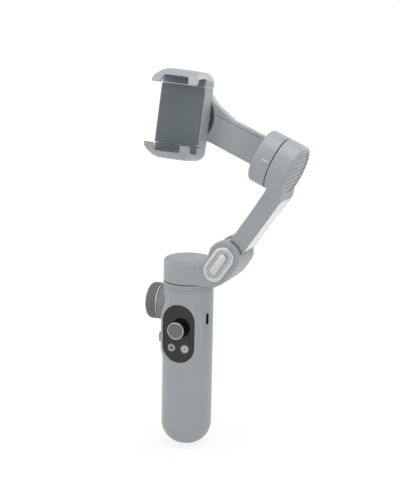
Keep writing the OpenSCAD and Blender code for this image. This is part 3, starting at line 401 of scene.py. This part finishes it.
panel = dict(back=17.1, thick=1.6, gap=0.1, wellR=6.8, stickZ=98.8, buttonX=5.6, buttonZ=83.2,
             recordR=3.3, modeR=3.6, edge=0.5, crown=0.5, dish=0.9, dishR=11.5, across=72, along=120)
hole = dict(front=12, side=10, depth=14, segments=48, drill=20, drillSegments=96)
recess = stadium("recess", grip["panelL"] + 2 * panel["gap"], grip["panelW"] + 2 * panel["gap"], hole["front"])
settle(recess, frontFrame(0, grip["panelZ"], hole["front"]))
carve(gripShell, recess)
usb = dict(turn=18, z=106.3, l=9.3, w=3.5)
usbHole = stadium("usbHole", usb["l"], usb["w"], hole["depth"], hole["segments"])
settle(usbHole, Matrix.Rotation(-math.radians(usb["turn"]), 4, "Z") @ sideFrame(hole["side"], usb["z"]))
carve(gripShell, usbHole)
sideKey = dict(z=85.1, l=13.3, w=10.3, proud=0.9)
sideHole = stadium("sideHole", sideKey["l"], sideKey["w"], hole["depth"], hole["segments"])
settle(sideHole, sideFrame(-hole["side"], sideKey["z"]))
carve(gripShell, sideHole)
smoothShade(gripShell)
dress(gripShell, "grip", "shell", ["grip_shell"])


# glossy thumb panel: a grid drawn into a pill, crowned, with a dish round the joystick

def panelPoint(u, v):
    halfW, halfL = grip["panelW"] / 2, grip["panelL"] / 2
    y = halfL * math.sin(v * math.pi / 2)
    end = max(0.0, abs(y) - halfL + halfW)
    x = math.sin(u * math.pi / 2) * math.sqrt(max(0.0, halfW ** 2 - end ** 2))
    inside = max(0.0, halfW - math.hypot(x, end))
    edge = panel["edge"]
    z = panel["thick"] - edge + math.sqrt(max(0.0, edge ** 2 - max(0.0, edge - inside) ** 2))
    z += panel["crown"] * (1 - (1 - inside / halfW) ** 2)
    near = math.hypot(x, y - panel["stickZ"] + grip["panelZ"]) / panel["dishR"]
    if near < 1:
        z -= panel["dish"] * (1 - near ** 2) ** 2
    return Vector((x, y, z)) * mm


bpy.ops.mesh.primitive_grid_add(x_subdivisions=panel["across"], y_subdivisions=panel["along"], size=2)
thumbPanel = newest("thumbPanel")
for v in thumbPanel.data.vertices:
    v.co = panelPoint(v.co.x, v.co.y)
editMode(thumbPanel)
bpy.ops.mesh.select_all(action="SELECT")
bpy.ops.mesh.remove_doubles(threshold=weld["plain"])
bpy.ops.mesh.extrude_region_move(TRANSFORM_OT_translate={"value": (0, 0, -panel["thick"] * mm)})
bpy.ops.transform.resize(value=(1, 1, 0), center_override=(0, 0, 0))
objectMode()
tidyMesh(thumbPanel, weld["fine"])
settle(thumbPanel, frontFrame(0, grip["panelZ"], panel["back"]))
wells = ((0, panel["stickZ"], panel["wellR"]), (-panel["buttonX"], panel["buttonZ"], panel["recordR"]),
         (panel["buttonX"], panel["buttonZ"], panel["modeR"]))
for x, z, r in wells:
    bpy.ops.mesh.primitive_cylinder_add(vertices=hole["drillSegments"], radius=r * mm, depth=hole["drill"] * mm)
    drill = newest("drill")
    settle(drill, frontFrame(x, z, panel["back"]))
    carve(thumbPanel, drill)
smoothShade(thumbPanel, 35)
dress(thumbPanel, "grip", "gloss_black", ["thumb_panel"])


# joystick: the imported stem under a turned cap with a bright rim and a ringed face

stick = dict(capY=26, capT=2.6, capR=6.8, rimW=0.6, ring=0.36, ripple=0.06, cut=20, lap=0.2, sunk=0.45,
             underR=0.6, underIn=1.3, bellyR=0.5, bellyZ=1.35, lip=0.3, play=0.1, floor=0.35,
             plate=0.4, trough=0.1, heart=0.12, rimUp=0.05, steps=128)
stickStem = cadCopy("joystick_stick", "stickStem")
bpy.ops.mesh.primitive_cube_add(size=stick["cut"] * mm)
capCut = newest("capCut")
settle(capCut, frontFrame(0, panel["stickZ"], stick["capY"] - stick["capT"] + stick["cut"] / 2 + stick["lap"]))
carve(stickStem, capCut)
smoothShade(stickStem)
dress(stickStem, "stick", "dark_plastic", ["joystick_stick"])

stickPlace = frontFrame(0, panel["stickZ"], stick["capY"] - stick["capT"])
faceR = stick["capR"] - stick["rimW"]
faceZ = stick["capT"] - stick["sunk"]
capProfile = [(0, 0)]
capProfile += arcPoints(stick["capR"] - stick["underIn"], stick["underR"], stick["underR"], -90, -30)
capProfile += arcPoints(stick["capR"] - stick["bellyR"], stick["bellyZ"], stick["bellyR"], -40, 60)
capProfile += [(stick["capR"] - stick["lip"], faceZ), (faceR - stick["play"], faceZ - stick["floor"]),
               (0, faceZ - stick["floor"])]
stickCap = lathe("stickCap", capProfile)
settle(stickCap, stickPlace)
smoothShade(stickCap)
dress(stickCap, "stick", "dark_plastic")

ridges = [(0, faceZ - stick["plate"]), (faceR, faceZ - stick["plate"]), (faceR, faceZ)]
count = 2 * int(faceR / stick["ring"])
for i in range(count, 0, -1):
    crest = stick["ripple"] if i % 2 else 0
    ridges.append((faceR * i / (count + 1), faceZ - stick["trough"] + crest))
ridges.append((0, faceZ - stick["heart"]))
stickFace = lathe("stickFace", ridges, stick["steps"])
settle(stickFace, stickPlace)
smoothShade(stickFace)
dress(stickFace, "stick", "steel", look="turnedFace")

rimR = stick["rimW"] / 2
rimProfile = arcPoints(stick["capR"] - rimR, faceZ + stick["rimUp"], rimR, -30, 330, 12)
stickRim = lathe("stickRim", rimProfile, stick["steps"])
settle(stickRim, stickPlace)
smoothShade(stickRim, 60)
dress(stickRim, "stick", "bright_trim", look="satinLock")


# record and mode buttons with plain generic marks

button = dict(back=15.5, face=20.2, flange=0.8, flangeT=1, round=0.45, dish=0.16, gap=0.2, well=0.7,
              shoulder=0.72, shoulderIn=0.03, dishAt=0.6, play=0.05,
              dotR=1.3, dotLow=0.65, dotRound=0.3, dotSide=0.25, dotCrown=0.12,
              ringR=1.55, ringW=0.32, markR=0.62, markLow=0.4, markSide=0.08, markTop=0.02)
buttonTop = button["face"] - button["back"]


def buttonProfile(r, well):
    flangeR, dishZ = r + button["flange"], buttonTop - button["dish"]
    profile = [(0, 0), (flangeR, 0), (flangeR, button["flangeT"]), (r, button["flangeT"])]
    profile += arcPoints(r - button["round"], buttonTop - button["round"], button["round"], 0, 90)
    profile += [(r * button["shoulder"], buttonTop - button["shoulderIn"]), (r * button["dishAt"], dishZ)]
    if well:
        profile += [(well, dishZ), (well, buttonTop - button["well"]), (0, buttonTop - button["well"])]
    else:
        profile += [(0, dishZ)]
    return profile


recordR, modeR = panel["recordR"] - button["gap"], panel["modeR"] - button["gap"]
recordPlace = frontFrame(-panel["buttonX"], panel["buttonZ"], button["back"])
modePlace = frontFrame(panel["buttonX"], panel["buttonZ"], button["back"])
recordButton = lathe("recordButton", buttonProfile(recordR, button["dotR"] + button["play"]))
settle(recordButton, recordPlace)
smoothShade(recordButton)
dress(recordButton, "record", "light_key", ["record_button"])
dotProfile = [(0, buttonTop - button["dotLow"]), (button["dotR"], buttonTop - button["dotLow"])]
dotProfile += arcPoints(button["dotR"] - button["dotRound"], buttonTop - button["dotSide"],
                        button["dotRound"], 0, 90)
dotProfile += [(0, buttonTop + button["dotCrown"])]
recordDot = lathe("recordDot", dotProfile)
settle(recordDot, recordPlace)
smoothShade(recordDot)
dress(recordDot, "record", "red_dot", ["record_dot"])
modeButton = lathe("modeButton", buttonProfile(modeR, 0))
settle(modeButton, modePlace)
smoothShade(modeButton)
dress(modeButton, "mode", "light_key", ["mode_button"])
ringProfile = arcPoints(button["ringR"], buttonTop - button["dish"], button["ringW"], -90, 270, 10)
modeRing = lathe("modeRing", ringProfile)
settle(modeRing, modePlace)
smoothShade(modeRing, 60)
dress(modeRing, "mode", "light_key", look="paleMark")
markProfile = [(0, buttonTop - button["markLow"]), (button["markR"], buttonTop - button["markLow"]),
               (button["markR"], buttonTop - button["markSide"]), (0, buttonTop - button["markTop"])]
modeDot = lathe("modeDot", markProfile)
settle(modeDot, modePlace)
smoothShade(modeDot)
dress(modeDot, "mode", "dark_plastic")


# zoom wheel, turned, with a dished hub face

wheel = dict(x=21.8, z=114.8, r=14.5, w=10.2, round=3, bore=3.02, boreEnd=7.9, seat=0.8, edge=0.3,
             hub=7.8, hubIn=0.5, lip=0.6, midR=0.5, midIn=0.25, heartIn=0.35, steps=160)
wheelPlace = sideFrame(-wheel["x"], wheel["z"])
seatR = wheel["r"] - wheel["seat"]
hubZ = wheel["w"] - wheel["hubIn"]
wheelProfile = [(0, wheel["boreEnd"]), (wheel["bore"], wheel["boreEnd"]), (wheel["bore"], 0), (seatR, 0)]
wheelProfile += [(seatR, wheel["seat"])]
wheelProfile += arcPoints(wheel["r"] - wheel["edge"], wheel["seat"] + wheel["edge"], wheel["edge"], -90, 0, 3)
wheelProfile += arcPoints(wheel["r"] - wheel["round"], wheel["w"] - wheel["round"], wheel["round"], 0, 84, 12)
wheelProfile += arcPoints(wheel["hub"] + wheel["lip"], wheel["w"] - wheel["edge"], wheel["edge"], 90, 150, 3)
wheelProfile += [(wheel["hub"], hubZ), (wheel["hub"] * wheel["midR"], hubZ - wheel["midIn"]),
                 (0, hubZ - wheel["heartIn"])]
zoomWheel = lathe("zoomWheel", wheelProfile, wheel["steps"])
settle(zoomWheel, wheelPlace)
smoothShade(zoomWheel)
dress(zoomWheel, "wheel", "dark_plastic", ["zoom_wheel"], look="wheelGrey")


# moulded housings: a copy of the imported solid, its edges melted as an injection mould leaves them

moulded = {
    "yaw_drum": dict(name="yawDrum", body="yaw_frame", voxel=0.45, melt=7),
    "lower_arm": dict(name="lowerArm", body="lower_arm_body", voxel=0.45, melt=7),
    "upper_arm": dict(name="upperArm", body="upper_arm_body", voxel=0.45, melt=7, also="arm_cover"),
    "clamp_frame": dict(name="clampBody", body="clamp", voxel=0.36, melt=3),
    "upper_jaw": dict(name="upperJaw", body="upper_jaw_body", voxel=0.32, melt=4),
    "lower_jaw": dict(name="lowerJaw", body="lower_jaw_body", voxel=0.32, melt=4),
    "side_button": dict(name="sideButton", body="side", voxel=0.16, melt=5),
    "side_button_frame": dict(name="sideFrameRing", body="grip", voxel=0.16, melt=4),
}
detail = dict(coverGrow=0.3, meltShare=0.5, line=(0.5, 2.2, 40), lineAt=(-10.4, 0, -40),
              ringR=16.6, ringT=0.45, ringZ=152.8, ringAround=160, ringAcross=10)


def mouldCopy(node, spec):
    piece = cadCopy(node, spec["name"])
    if "also" in spec:  # a cover plate that shows no seam of its own
        cover = cadCopy(spec["also"], "cover")
        applyMod(cover, "SOLIDIFY", "grow", thickness=detail["coverGrow"] * mm, offset=1)
        carve(piece, cover, "UNION")
    applyMod(piece, "REMESH", "skin", mode="VOXEL", voxel_size=spec["voxel"] * mm)
    applyMod(piece, "SMOOTH", "melt", factor=detail["meltShare"], iterations=spec["melt"])
    return piece


def finishMould(node, piece, spec):
    activate(piece)
    bpy.ops.object.shade_smooth()
    return dress(piece, spec["body"], "shell", [node] + ([spec["also"]] if "also" in spec else []))


jaw = dict(front=44.5, bend=22, side=6, run=12, fall=3.2, base=23.45, top=34.25)
sweep = dict(start=2, end=42, run=10, turns=60)


def softenJaw(piece):
    # the hood's outer front corners fall away in a soft curve
    back = clampFrame.inverted()
    for v in piece.data.vertices:
        co = back @ v.co / mm
        ahead = ease((-co.y - jaw["bend"]) / (jaw["front"] - jaw["bend"]))
        aside = ease((abs(co.x) - jaw["side"]) / jaw["run"])
        high = max(0.0, (abs(co.z) - jaw["base"]) / (jaw["top"] - jaw["base"]))
        co.z -= math.copysign(jaw["fall"] * ahead * aside * high, co.z)
        v.co = clampFrame @ (co * mm)


def softenHead(piece):
    # the bar runs into the round head in one smooth sweep
    toBar = (tiltCentre - rollCentre).normalized()
    group = piece.vertex_groups.new(name="blend")
    for v in piece.data.vertices:
        along = (v.co - rollCentre).dot(toBar) / mm
        weight = ease((along - sweep["start"]) / sweep["run"]) * ease((sweep["end"] - along) / sweep["run"])
        if weight > 0:
            group.add([v.index], weight, "REPLACE")
    applyMod(piece, "SMOOTH", "sweep", factor=detail["meltShare"], iterations=sweep["turns"],
             vertex_group="blend")


def bar(name, size, place, soft=0.0):
    # plain block, its size in mm, soft its rounding, set at place
    bpy.ops.mesh.primitive_cube_add(size=1)
    piece = newest(name)
    piece.scale = Vector(size) * mm
    bpy.ops.object.transform_apply(location=True, rotation=True, scale=True)
    if soft:
        applyMod(piece, "BEVEL", "round", width=soft * mm, segments=4)
    settle(piece, place)
    return piece


for node, spec in moulded.items():
    piece = mouldCopy(node, spec)
    if node.endswith("_jaw"):
        softenJaw(piece)
    if node == "side_button":
        settle(piece, Matrix.Translation((-sideKey["proud"] * mm, 0, 0)))
    if node == "upper_arm":
        softenHead(piece)
        groove = bar("groove", detail["line"], barFrame @ Matrix.Translation(Vector(detail["lineAt"]) * mm))
        carve(piece, groove)
    if node == "yaw_drum":
        bpy.ops.mesh.primitive_torus_add(
            major_radius=detail["ringR"] * mm, minor_radius=detail["ringT"] * mm,
            major_segments=detail["ringAround"], minor_segments=detail["ringAcross"],
            location=(0, 0, detail["ringZ"] * mm))
        carve(piece, newest("ringGroove"))
    finishMould(node, piece, spec)


# crisp trim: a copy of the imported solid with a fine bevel

trims = {
    "arm_strip": dict(name="armStrip", body="lower_arm_body", slot="bright_trim", bevel=0.4),
    "tilt_end_plate": dict(name="tiltEndPlate", body="lower_arm_body", slot="shell", bevel=0.25),
    "head_cap": dict(name="headCap", body="upper_arm_body", slot="shell", bevel=0.2),
    "wheel_base": dict(name="wheelBase", body="grip", slot="dark_plastic", bevel=0.3, look="baseGrey"),
    "wheel_trim": dict(name="wheelTrim", body="wheel", slot="bright_trim", bevel=0.15, look="satinLock"),
}
trimEdge = dict(flat=0.5, sharp=40, segments=3)
for node, spec in trims.items():
    piece = cadCopy(node, spec["name"])
    editMode(piece)
    bpy.ops.mesh.select_all(action="SELECT")
    bpy.ops.mesh.dissolve_limited(angle_limit=math.radians(trimEdge["flat"]))
    objectMode()
    applyMod(piece, "BEVEL", "edge", width=spec["bevel"] * mm, segments=trimEdge["segments"],
             limit_method="ANGLE", angle_limit=math.radians(trimEdge["sharp"]))
    smoothShade(piece)
    dress(piece, spec["body"], spec["slot"], [node], look=spec.get("look"))


# pale index mark beside the tilt seam

dash = dict(size=(0.7, 0.6, 5.5), at=(0, -21.2, -4.5), turn=9, edge=0.2)
dashTurn = Matrix.Rotation(-math.radians(dash["turn"]), 4, "Z")
dashPlace = tiltFrame @ dashTurn @ Matrix.Translation(Vector(dash["at"]) * mm)
indexDash = bar("indexDash", dash["size"], dashPlace, dash["edge"])
smoothShade(indexDash)
dress(indexDash, "upper_arm_body", "light_key", look="paleMark")


# elbow lock: satin bezel ring, dished button and its spring

lock = dict(length=31, width=17.4, rim=3, back=16.5, proud=1.5, gap=0.3, buttonT=4, step=0.7, cut=8, edge=0.6,
            dish=((0.9, 0), (0.7, -0.8), (0.5, 0), (0.5, 2.0), (0.7, 0.25)))
lockShift = (lock["length"] - lock["width"]) / 2
lockPlace = lockFrame @ Matrix.Translation(Vector((0, -lockShift, lock["back"])) * mm)
bezel = stadium("lockBezel", lock["length"], lock["width"], lock["proud"])
innerL, innerW = lock["length"] - 2 * lock["rim"], lock["width"] - 2 * lock["rim"]
inner = stadium("inner", innerL, innerW, lock["cut"])
settle(inner, Matrix.Translation((0, 0, -lock["cut"] / 2 * mm)))
carve(bezel, inner)
editMode(bezel)
pickEdges(bezel, lambda a, b: min(a.z, b.z) > (lock["proud"] - hair) * mm)
bpy.ops.mesh.bevel(offset=lock["edge"] * mm, segments=4, affect="EDGES")
objectMode()
settle(bezel, lockPlace)
smoothShade(bezel, 50)
dress(bezel, "yaw_frame", "bright_trim", ["lock_bezel"], look="satinLock")

buttonT = lock["buttonT"] - lock["step"]
lockButton = stadium("lockButton", innerL - 2 * lock["gap"], innerW - 2 * lock["gap"], buttonT)
editMode(lockButton)
pickVerts(lockButton, lambda co: co.z > (buttonT - hair) * mm)
bpy.ops.mesh.select_mode(type="FACE")
for inwards, rise in lock["dish"]:
    bpy.ops.mesh.inset(thickness=inwards * mm, depth=rise * mm)
objectMode()
settle(lockButton, lockPlace @ Matrix.Translation((0, 0, (lock["proud"] - lock["buttonT"]) * mm)))
smoothShade(lockButton, 30)
dress(lockButton, "lock", "bright_trim", ["lock_button"], look="satinLock")

lockSpring = cadCopy("lock_spring", "lockSpring")
smoothShade(lockSpring, 50)
dress(lockSpring, "yaw_frame", "steel", ["lock_spring"])
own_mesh(lockSpring)


# rubber back pad

pad = dict(w=34.9, h=46, t=2.15, depth=18, corner=1.2, edge=0.3, aside=-0.45)
bpy.ops.mesh.primitive_cube_add(size=1, location=(pad["aside"] * mm, -(pad["depth"] + pad["t"] / 2) * mm, 0))
clampPad = newest("clampPad")
clampPad.scale = (pad["w"] * mm, pad["t"] * mm, pad["h"] * mm)
bpy.ops.object.transform_apply(location=True, rotation=True, scale=True)
editMode(clampPad)
pickEdges(clampPad, lambda a, b: abs(a.y - b.y) > mm)
bpy.ops.mesh.bevel(offset=pad["corner"] * mm, segments=8, affect="EDGES")
pickEdges(clampPad, lambda a, b: max(a.y, b.y) < -(pad["depth"] + pad["t"] - hair) * mm)
bpy.ops.mesh.bevel(offset=pad["edge"] * mm, segments=4, affect="EDGES")
objectMode()
settle(clampPad, clampFrame)
smoothShade(clampPad)
dress(clampPad, "clamp", "rubber_pad", ["clamp_pad"])


# ribbed rubber grips under the jaws' hoods

jawGrip = dict(w=26, d=9, t=1.5, ahead=29, low=27.35, corner=2, ribs=5, groove=0.45, across=40, along=90)


def jawGripPoint(u, v):
    y = v * jawGrip["d"] / 2
    end = max(0.0, abs(y) - jawGrip["d"] / 2 + jawGrip["corner"])
    half = jawGrip["w"] / 2 - jawGrip["corner"] + math.sqrt(max(0.0, jawGrip["corner"] ** 2 - end ** 2))
    rib = 0.5 + 0.5 * math.cos(v * math.pi * jawGrip["ribs"])
    return Vector((u * half, y - jawGrip["ahead"], jawGrip["low"] + jawGrip["groove"] * rib)) * mm


jawSides = (("upper", 0), ("lower", math.pi))
for side, turn in jawSides:
    bpy.ops.mesh.primitive_grid_add(x_subdivisions=jawGrip["across"], y_subdivisions=jawGrip["along"], size=2)
    piece = newest(side + "JawGrip")
    for v in piece.data.vertices:
        v.co = jawGripPoint(v.co.x, v.co.y)
    editMode(piece)
    bpy.ops.mesh.select_all(action="SELECT")
    bpy.ops.mesh.extrude_region_move(TRANSFORM_OT_translate={"value": (0, 0, jawGrip["t"] * mm)})
    bpy.ops.transform.resize(value=(1, 1, 0), center_override=(0, 0, (jawGrip["low"] + jawGrip["t"]) * mm))
    objectMode()
    tidyMesh(piece, weld["fine"])
    settle(piece, clampFrame @ Matrix.Rotation(turn, 4, "Y"))
    smoothShade(piece)
    dress(piece, side + "_jaw_body", "rubber_pad", [side + "_jaw_grip"])


# painted shade: a dark sheet on the wall behind each hood, standing in for the shade under the hood, and a dark
# ring on the roll motor's face, standing in for the shadow in the gap behind the clamp

# painted shade: dark rubber-coloured sheets where the back wall under each hood lies in shade
hoodShade = dict(w=33, t=0.35, h=5.2, depth=20.1, middle=26.15, edge=0.12)
hoodShadeShift = Matrix.Translation(Vector((0, -hoodShade["depth"], hoodShade["middle"])) * mm)
for side, turn in jawSides:
    hoodShadePlace = clampFrame @ Matrix.Rotation(turn, 4, "Y") @ hoodShadeShift
    piece = bar(side + "JawShade", (hoodShade["w"], hoodShade["t"], hoodShade["h"]), hoodShadePlace, hoodShade["edge"])
    smoothShade(piece)
    dress(piece, side + "_jaw_body", "rubber_pad")

# painted shadow: a dark ring on the head's front, standing in for the shadow in the gap between the clamp and the
# head
rollShade = dict(r=21.2, inner=18.2, depth=0.7, t=0.3, steps=128)
rollShadeProfile = [(rollShade["inner"], 0), (rollShade["r"], 0), (rollShade["r"], rollShade["t"]),
               (rollShade["inner"], rollShade["t"]), (rollShade["inner"], 0)]
rollShadeFace = lathe("rollShadeFace", rollShadeProfile, rollShade["steps"])
settle(rollShadeFace, axesFrame(rollCentre + phoneFace * rollShade["depth"] * mm, clampSide, clampUp, phoneFace))
smoothShade(rollShadeFace)
dress(rollShadeFace, "upper_arm_body", "dark_plastic")


# stage: the camera, soft studio light and a pale floor

view = dict(turn=22, rise=13, roll=1.1, away=1.3, anchor=(0, 0, 152.3), right=8.6, up=6.3, lens=118.5)


def makeCamera():
    turn, rise, roll = (math.radians(view[k]) for k in ("turn", "rise", "roll"))
    right = Vector((math.cos(turn), math.sin(turn), 0))
    upward = Vector((-math.sin(turn) * math.sin(rise), math.cos(turn) * math.sin(rise), math.cos(rise)))
    back = right.cross(upward)
    rolledRight = right * math.cos(roll) + upward * math.sin(roll)
    rolledUp = upward * math.cos(roll) - right * math.sin(roll)
    spot = Vector(view["anchor"]) * mm + rolledRight * view["right"] * mm + rolledUp * view["up"] * mm
    data = bpy.data.cameras.new("camera")
    data.lens = view["lens"]
    camera = bpy.data.objects.new("camera", data)
    bpy.context.scene.collection.objects.link(camera)
    camera.matrix_world = axesFrame(spot + back * view["away"], rolledRight, rolledUp, back)
    bpy.context.scene.camera = camera


makeCamera()

stage = dict(sky=0.3, skyTint=(0.94, 0.97, 1, 1), white=(1, 1, 1, 1), aim=(0.02, 0, 0.16),
             floorSize=60, floorZ=-0.0005, floorTint=(0.9, 0.9, 0.9, 1), floorRough=0.8, glow=1.06)
fades = {"From Min": 0.08, "From Max": 0.5, "To Min": 0.78, "To Max": 1.0}
lamps = {
    "topLamp": dict(place=(0.15, -0.1, 1.5), size=1.0, power=12),
    "frontLamp": dict(place=(-0.6, -1.1, 0.7), size=0.9, power=3.4),
    "rightLamp": dict(place=(1.2, -0.6, 0.1), size=0.8, power=4.6),
    "leftLamp": dict(place=(-1.2, -0.1, 0.5), size=0.8, power=3),
    "rimLamp": dict(place=(0.5, 1.2, 0.7), size=0.8, power=4),
}
aim = Vector(stage["aim"])
for name, lamp in lamps.items():
    data = bpy.data.lights.new(name, "AREA")
    data.energy = lamp["power"]
    data.size = lamp["size"]
    light = bpy.data.objects.new(name, data)
    bpy.context.scene.collection.objects.link(light)
    light.location = lamp["place"]
    light.rotation_euler = (aim - Vector(lamp["place"])).to_track_quat("-Z", "Y").to_euler()


def seenDirectly(tree):
    # 1 for rays that look at the backdrop: straight, in a reflection or through glass
    paths = tree.nodes.new("ShaderNodeLightPath")
    last = paths.outputs["Is Camera Ray"]
    for name in ("Is Glossy Ray", "Is Transmission Ray"):
        most = tree.nodes.new("ShaderNodeMath")
        most.operation = "MAXIMUM"
        tree.links.new(last, most.inputs[0])
        tree.links.new(paths.outputs[name], most.inputs[1])
        last = most.outputs[0]
    return last


world = bpy.data.worlds.new("studio")
bpy.context.scene.world = world
world.use_nodes = True
tree = world.node_tree
dim = tree.nodes["Background"]
dim.inputs["Color"].default_value = stage["skyTint"]
dim.inputs["Strength"].default_value = stage["sky"]
white = tree.nodes.new("ShaderNodeBackground")
white.inputs["Color"].default_value = stage["white"]
white.inputs["Strength"].default_value = 1
pick = tree.nodes.new("ShaderNodeMixShader")
tree.links.new(seenDirectly(tree), pick.inputs[0])
tree.links.new(dim.outputs[0], pick.inputs[1])
tree.links.new(white.outputs[0], pick.inputs[2])
tree.links.new(pick.outputs[0], tree.nodes["World Output"].inputs["Surface"])

bpy.ops.mesh.primitive_plane_add(size=stage["floorSize"], location=(0, 0, stage["floorZ"]))
floor = newest("floor")
floorPaint = bpy.data.materials.new("floorPaint")
floorPaint.use_nodes = True
floorTree = floorPaint.node_tree
floorShader = floorTree.nodes["Principled BSDF"]
floorShader.inputs["Base Color"].default_value = stage["floorTint"]
floorShader.inputs["Roughness"].default_value = stage["floorRough"]
glow = floorTree.nodes.new("ShaderNodeEmission")
glow.inputs["Strength"].default_value = stage["glow"]
floorMix = floorTree.nodes.new("ShaderNodeMixShader")
share = floorTree.nodes.new("ShaderNodeMath")
share.operation = "MULTIPLY"
floorCoords = floorTree.nodes.new("ShaderNodeTexCoord")
reach = floorTree.nodes.new("ShaderNodeVectorMath")
reach.operation = "LENGTH"
fade = floorTree.nodes.new("ShaderNodeMapRange")
for key, value in fades.items():
    fade.inputs[key].default_value = value
floorTree.links.new(floorCoords.outputs["Object"], reach.inputs[0])
floorTree.links.new(reach.outputs["Value"], fade.inputs["Value"])
floorTree.links.new(fade.outputs["Result"], share.inputs[1])
floorTree.links.new(seenDirectly(floorTree), share.inputs[0])
floorTree.links.new(share.outputs[0], floorMix.inputs[0])
floorTree.links.new(floorShader.outputs[0], floorMix.inputs[1])
floorTree.links.new(glow.outputs[0], floorMix.inputs[2])
floorTree.links.new(floorMix.outputs[0], floorTree.nodes["Material Output"].inputs["Surface"])
floor.data.materials.append(floorPaint)
floor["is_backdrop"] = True
bpy.context.scene.view_settings.view_transform = "Standard"
print("stage:", len(lamps), "lamps, camera and floor")

low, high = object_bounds()
spans = [[round(b - a, 4) for a, b in zip(*box)] for box in ((cadLow, cadHigh), (low, high))]
print("sizes:", *spans)
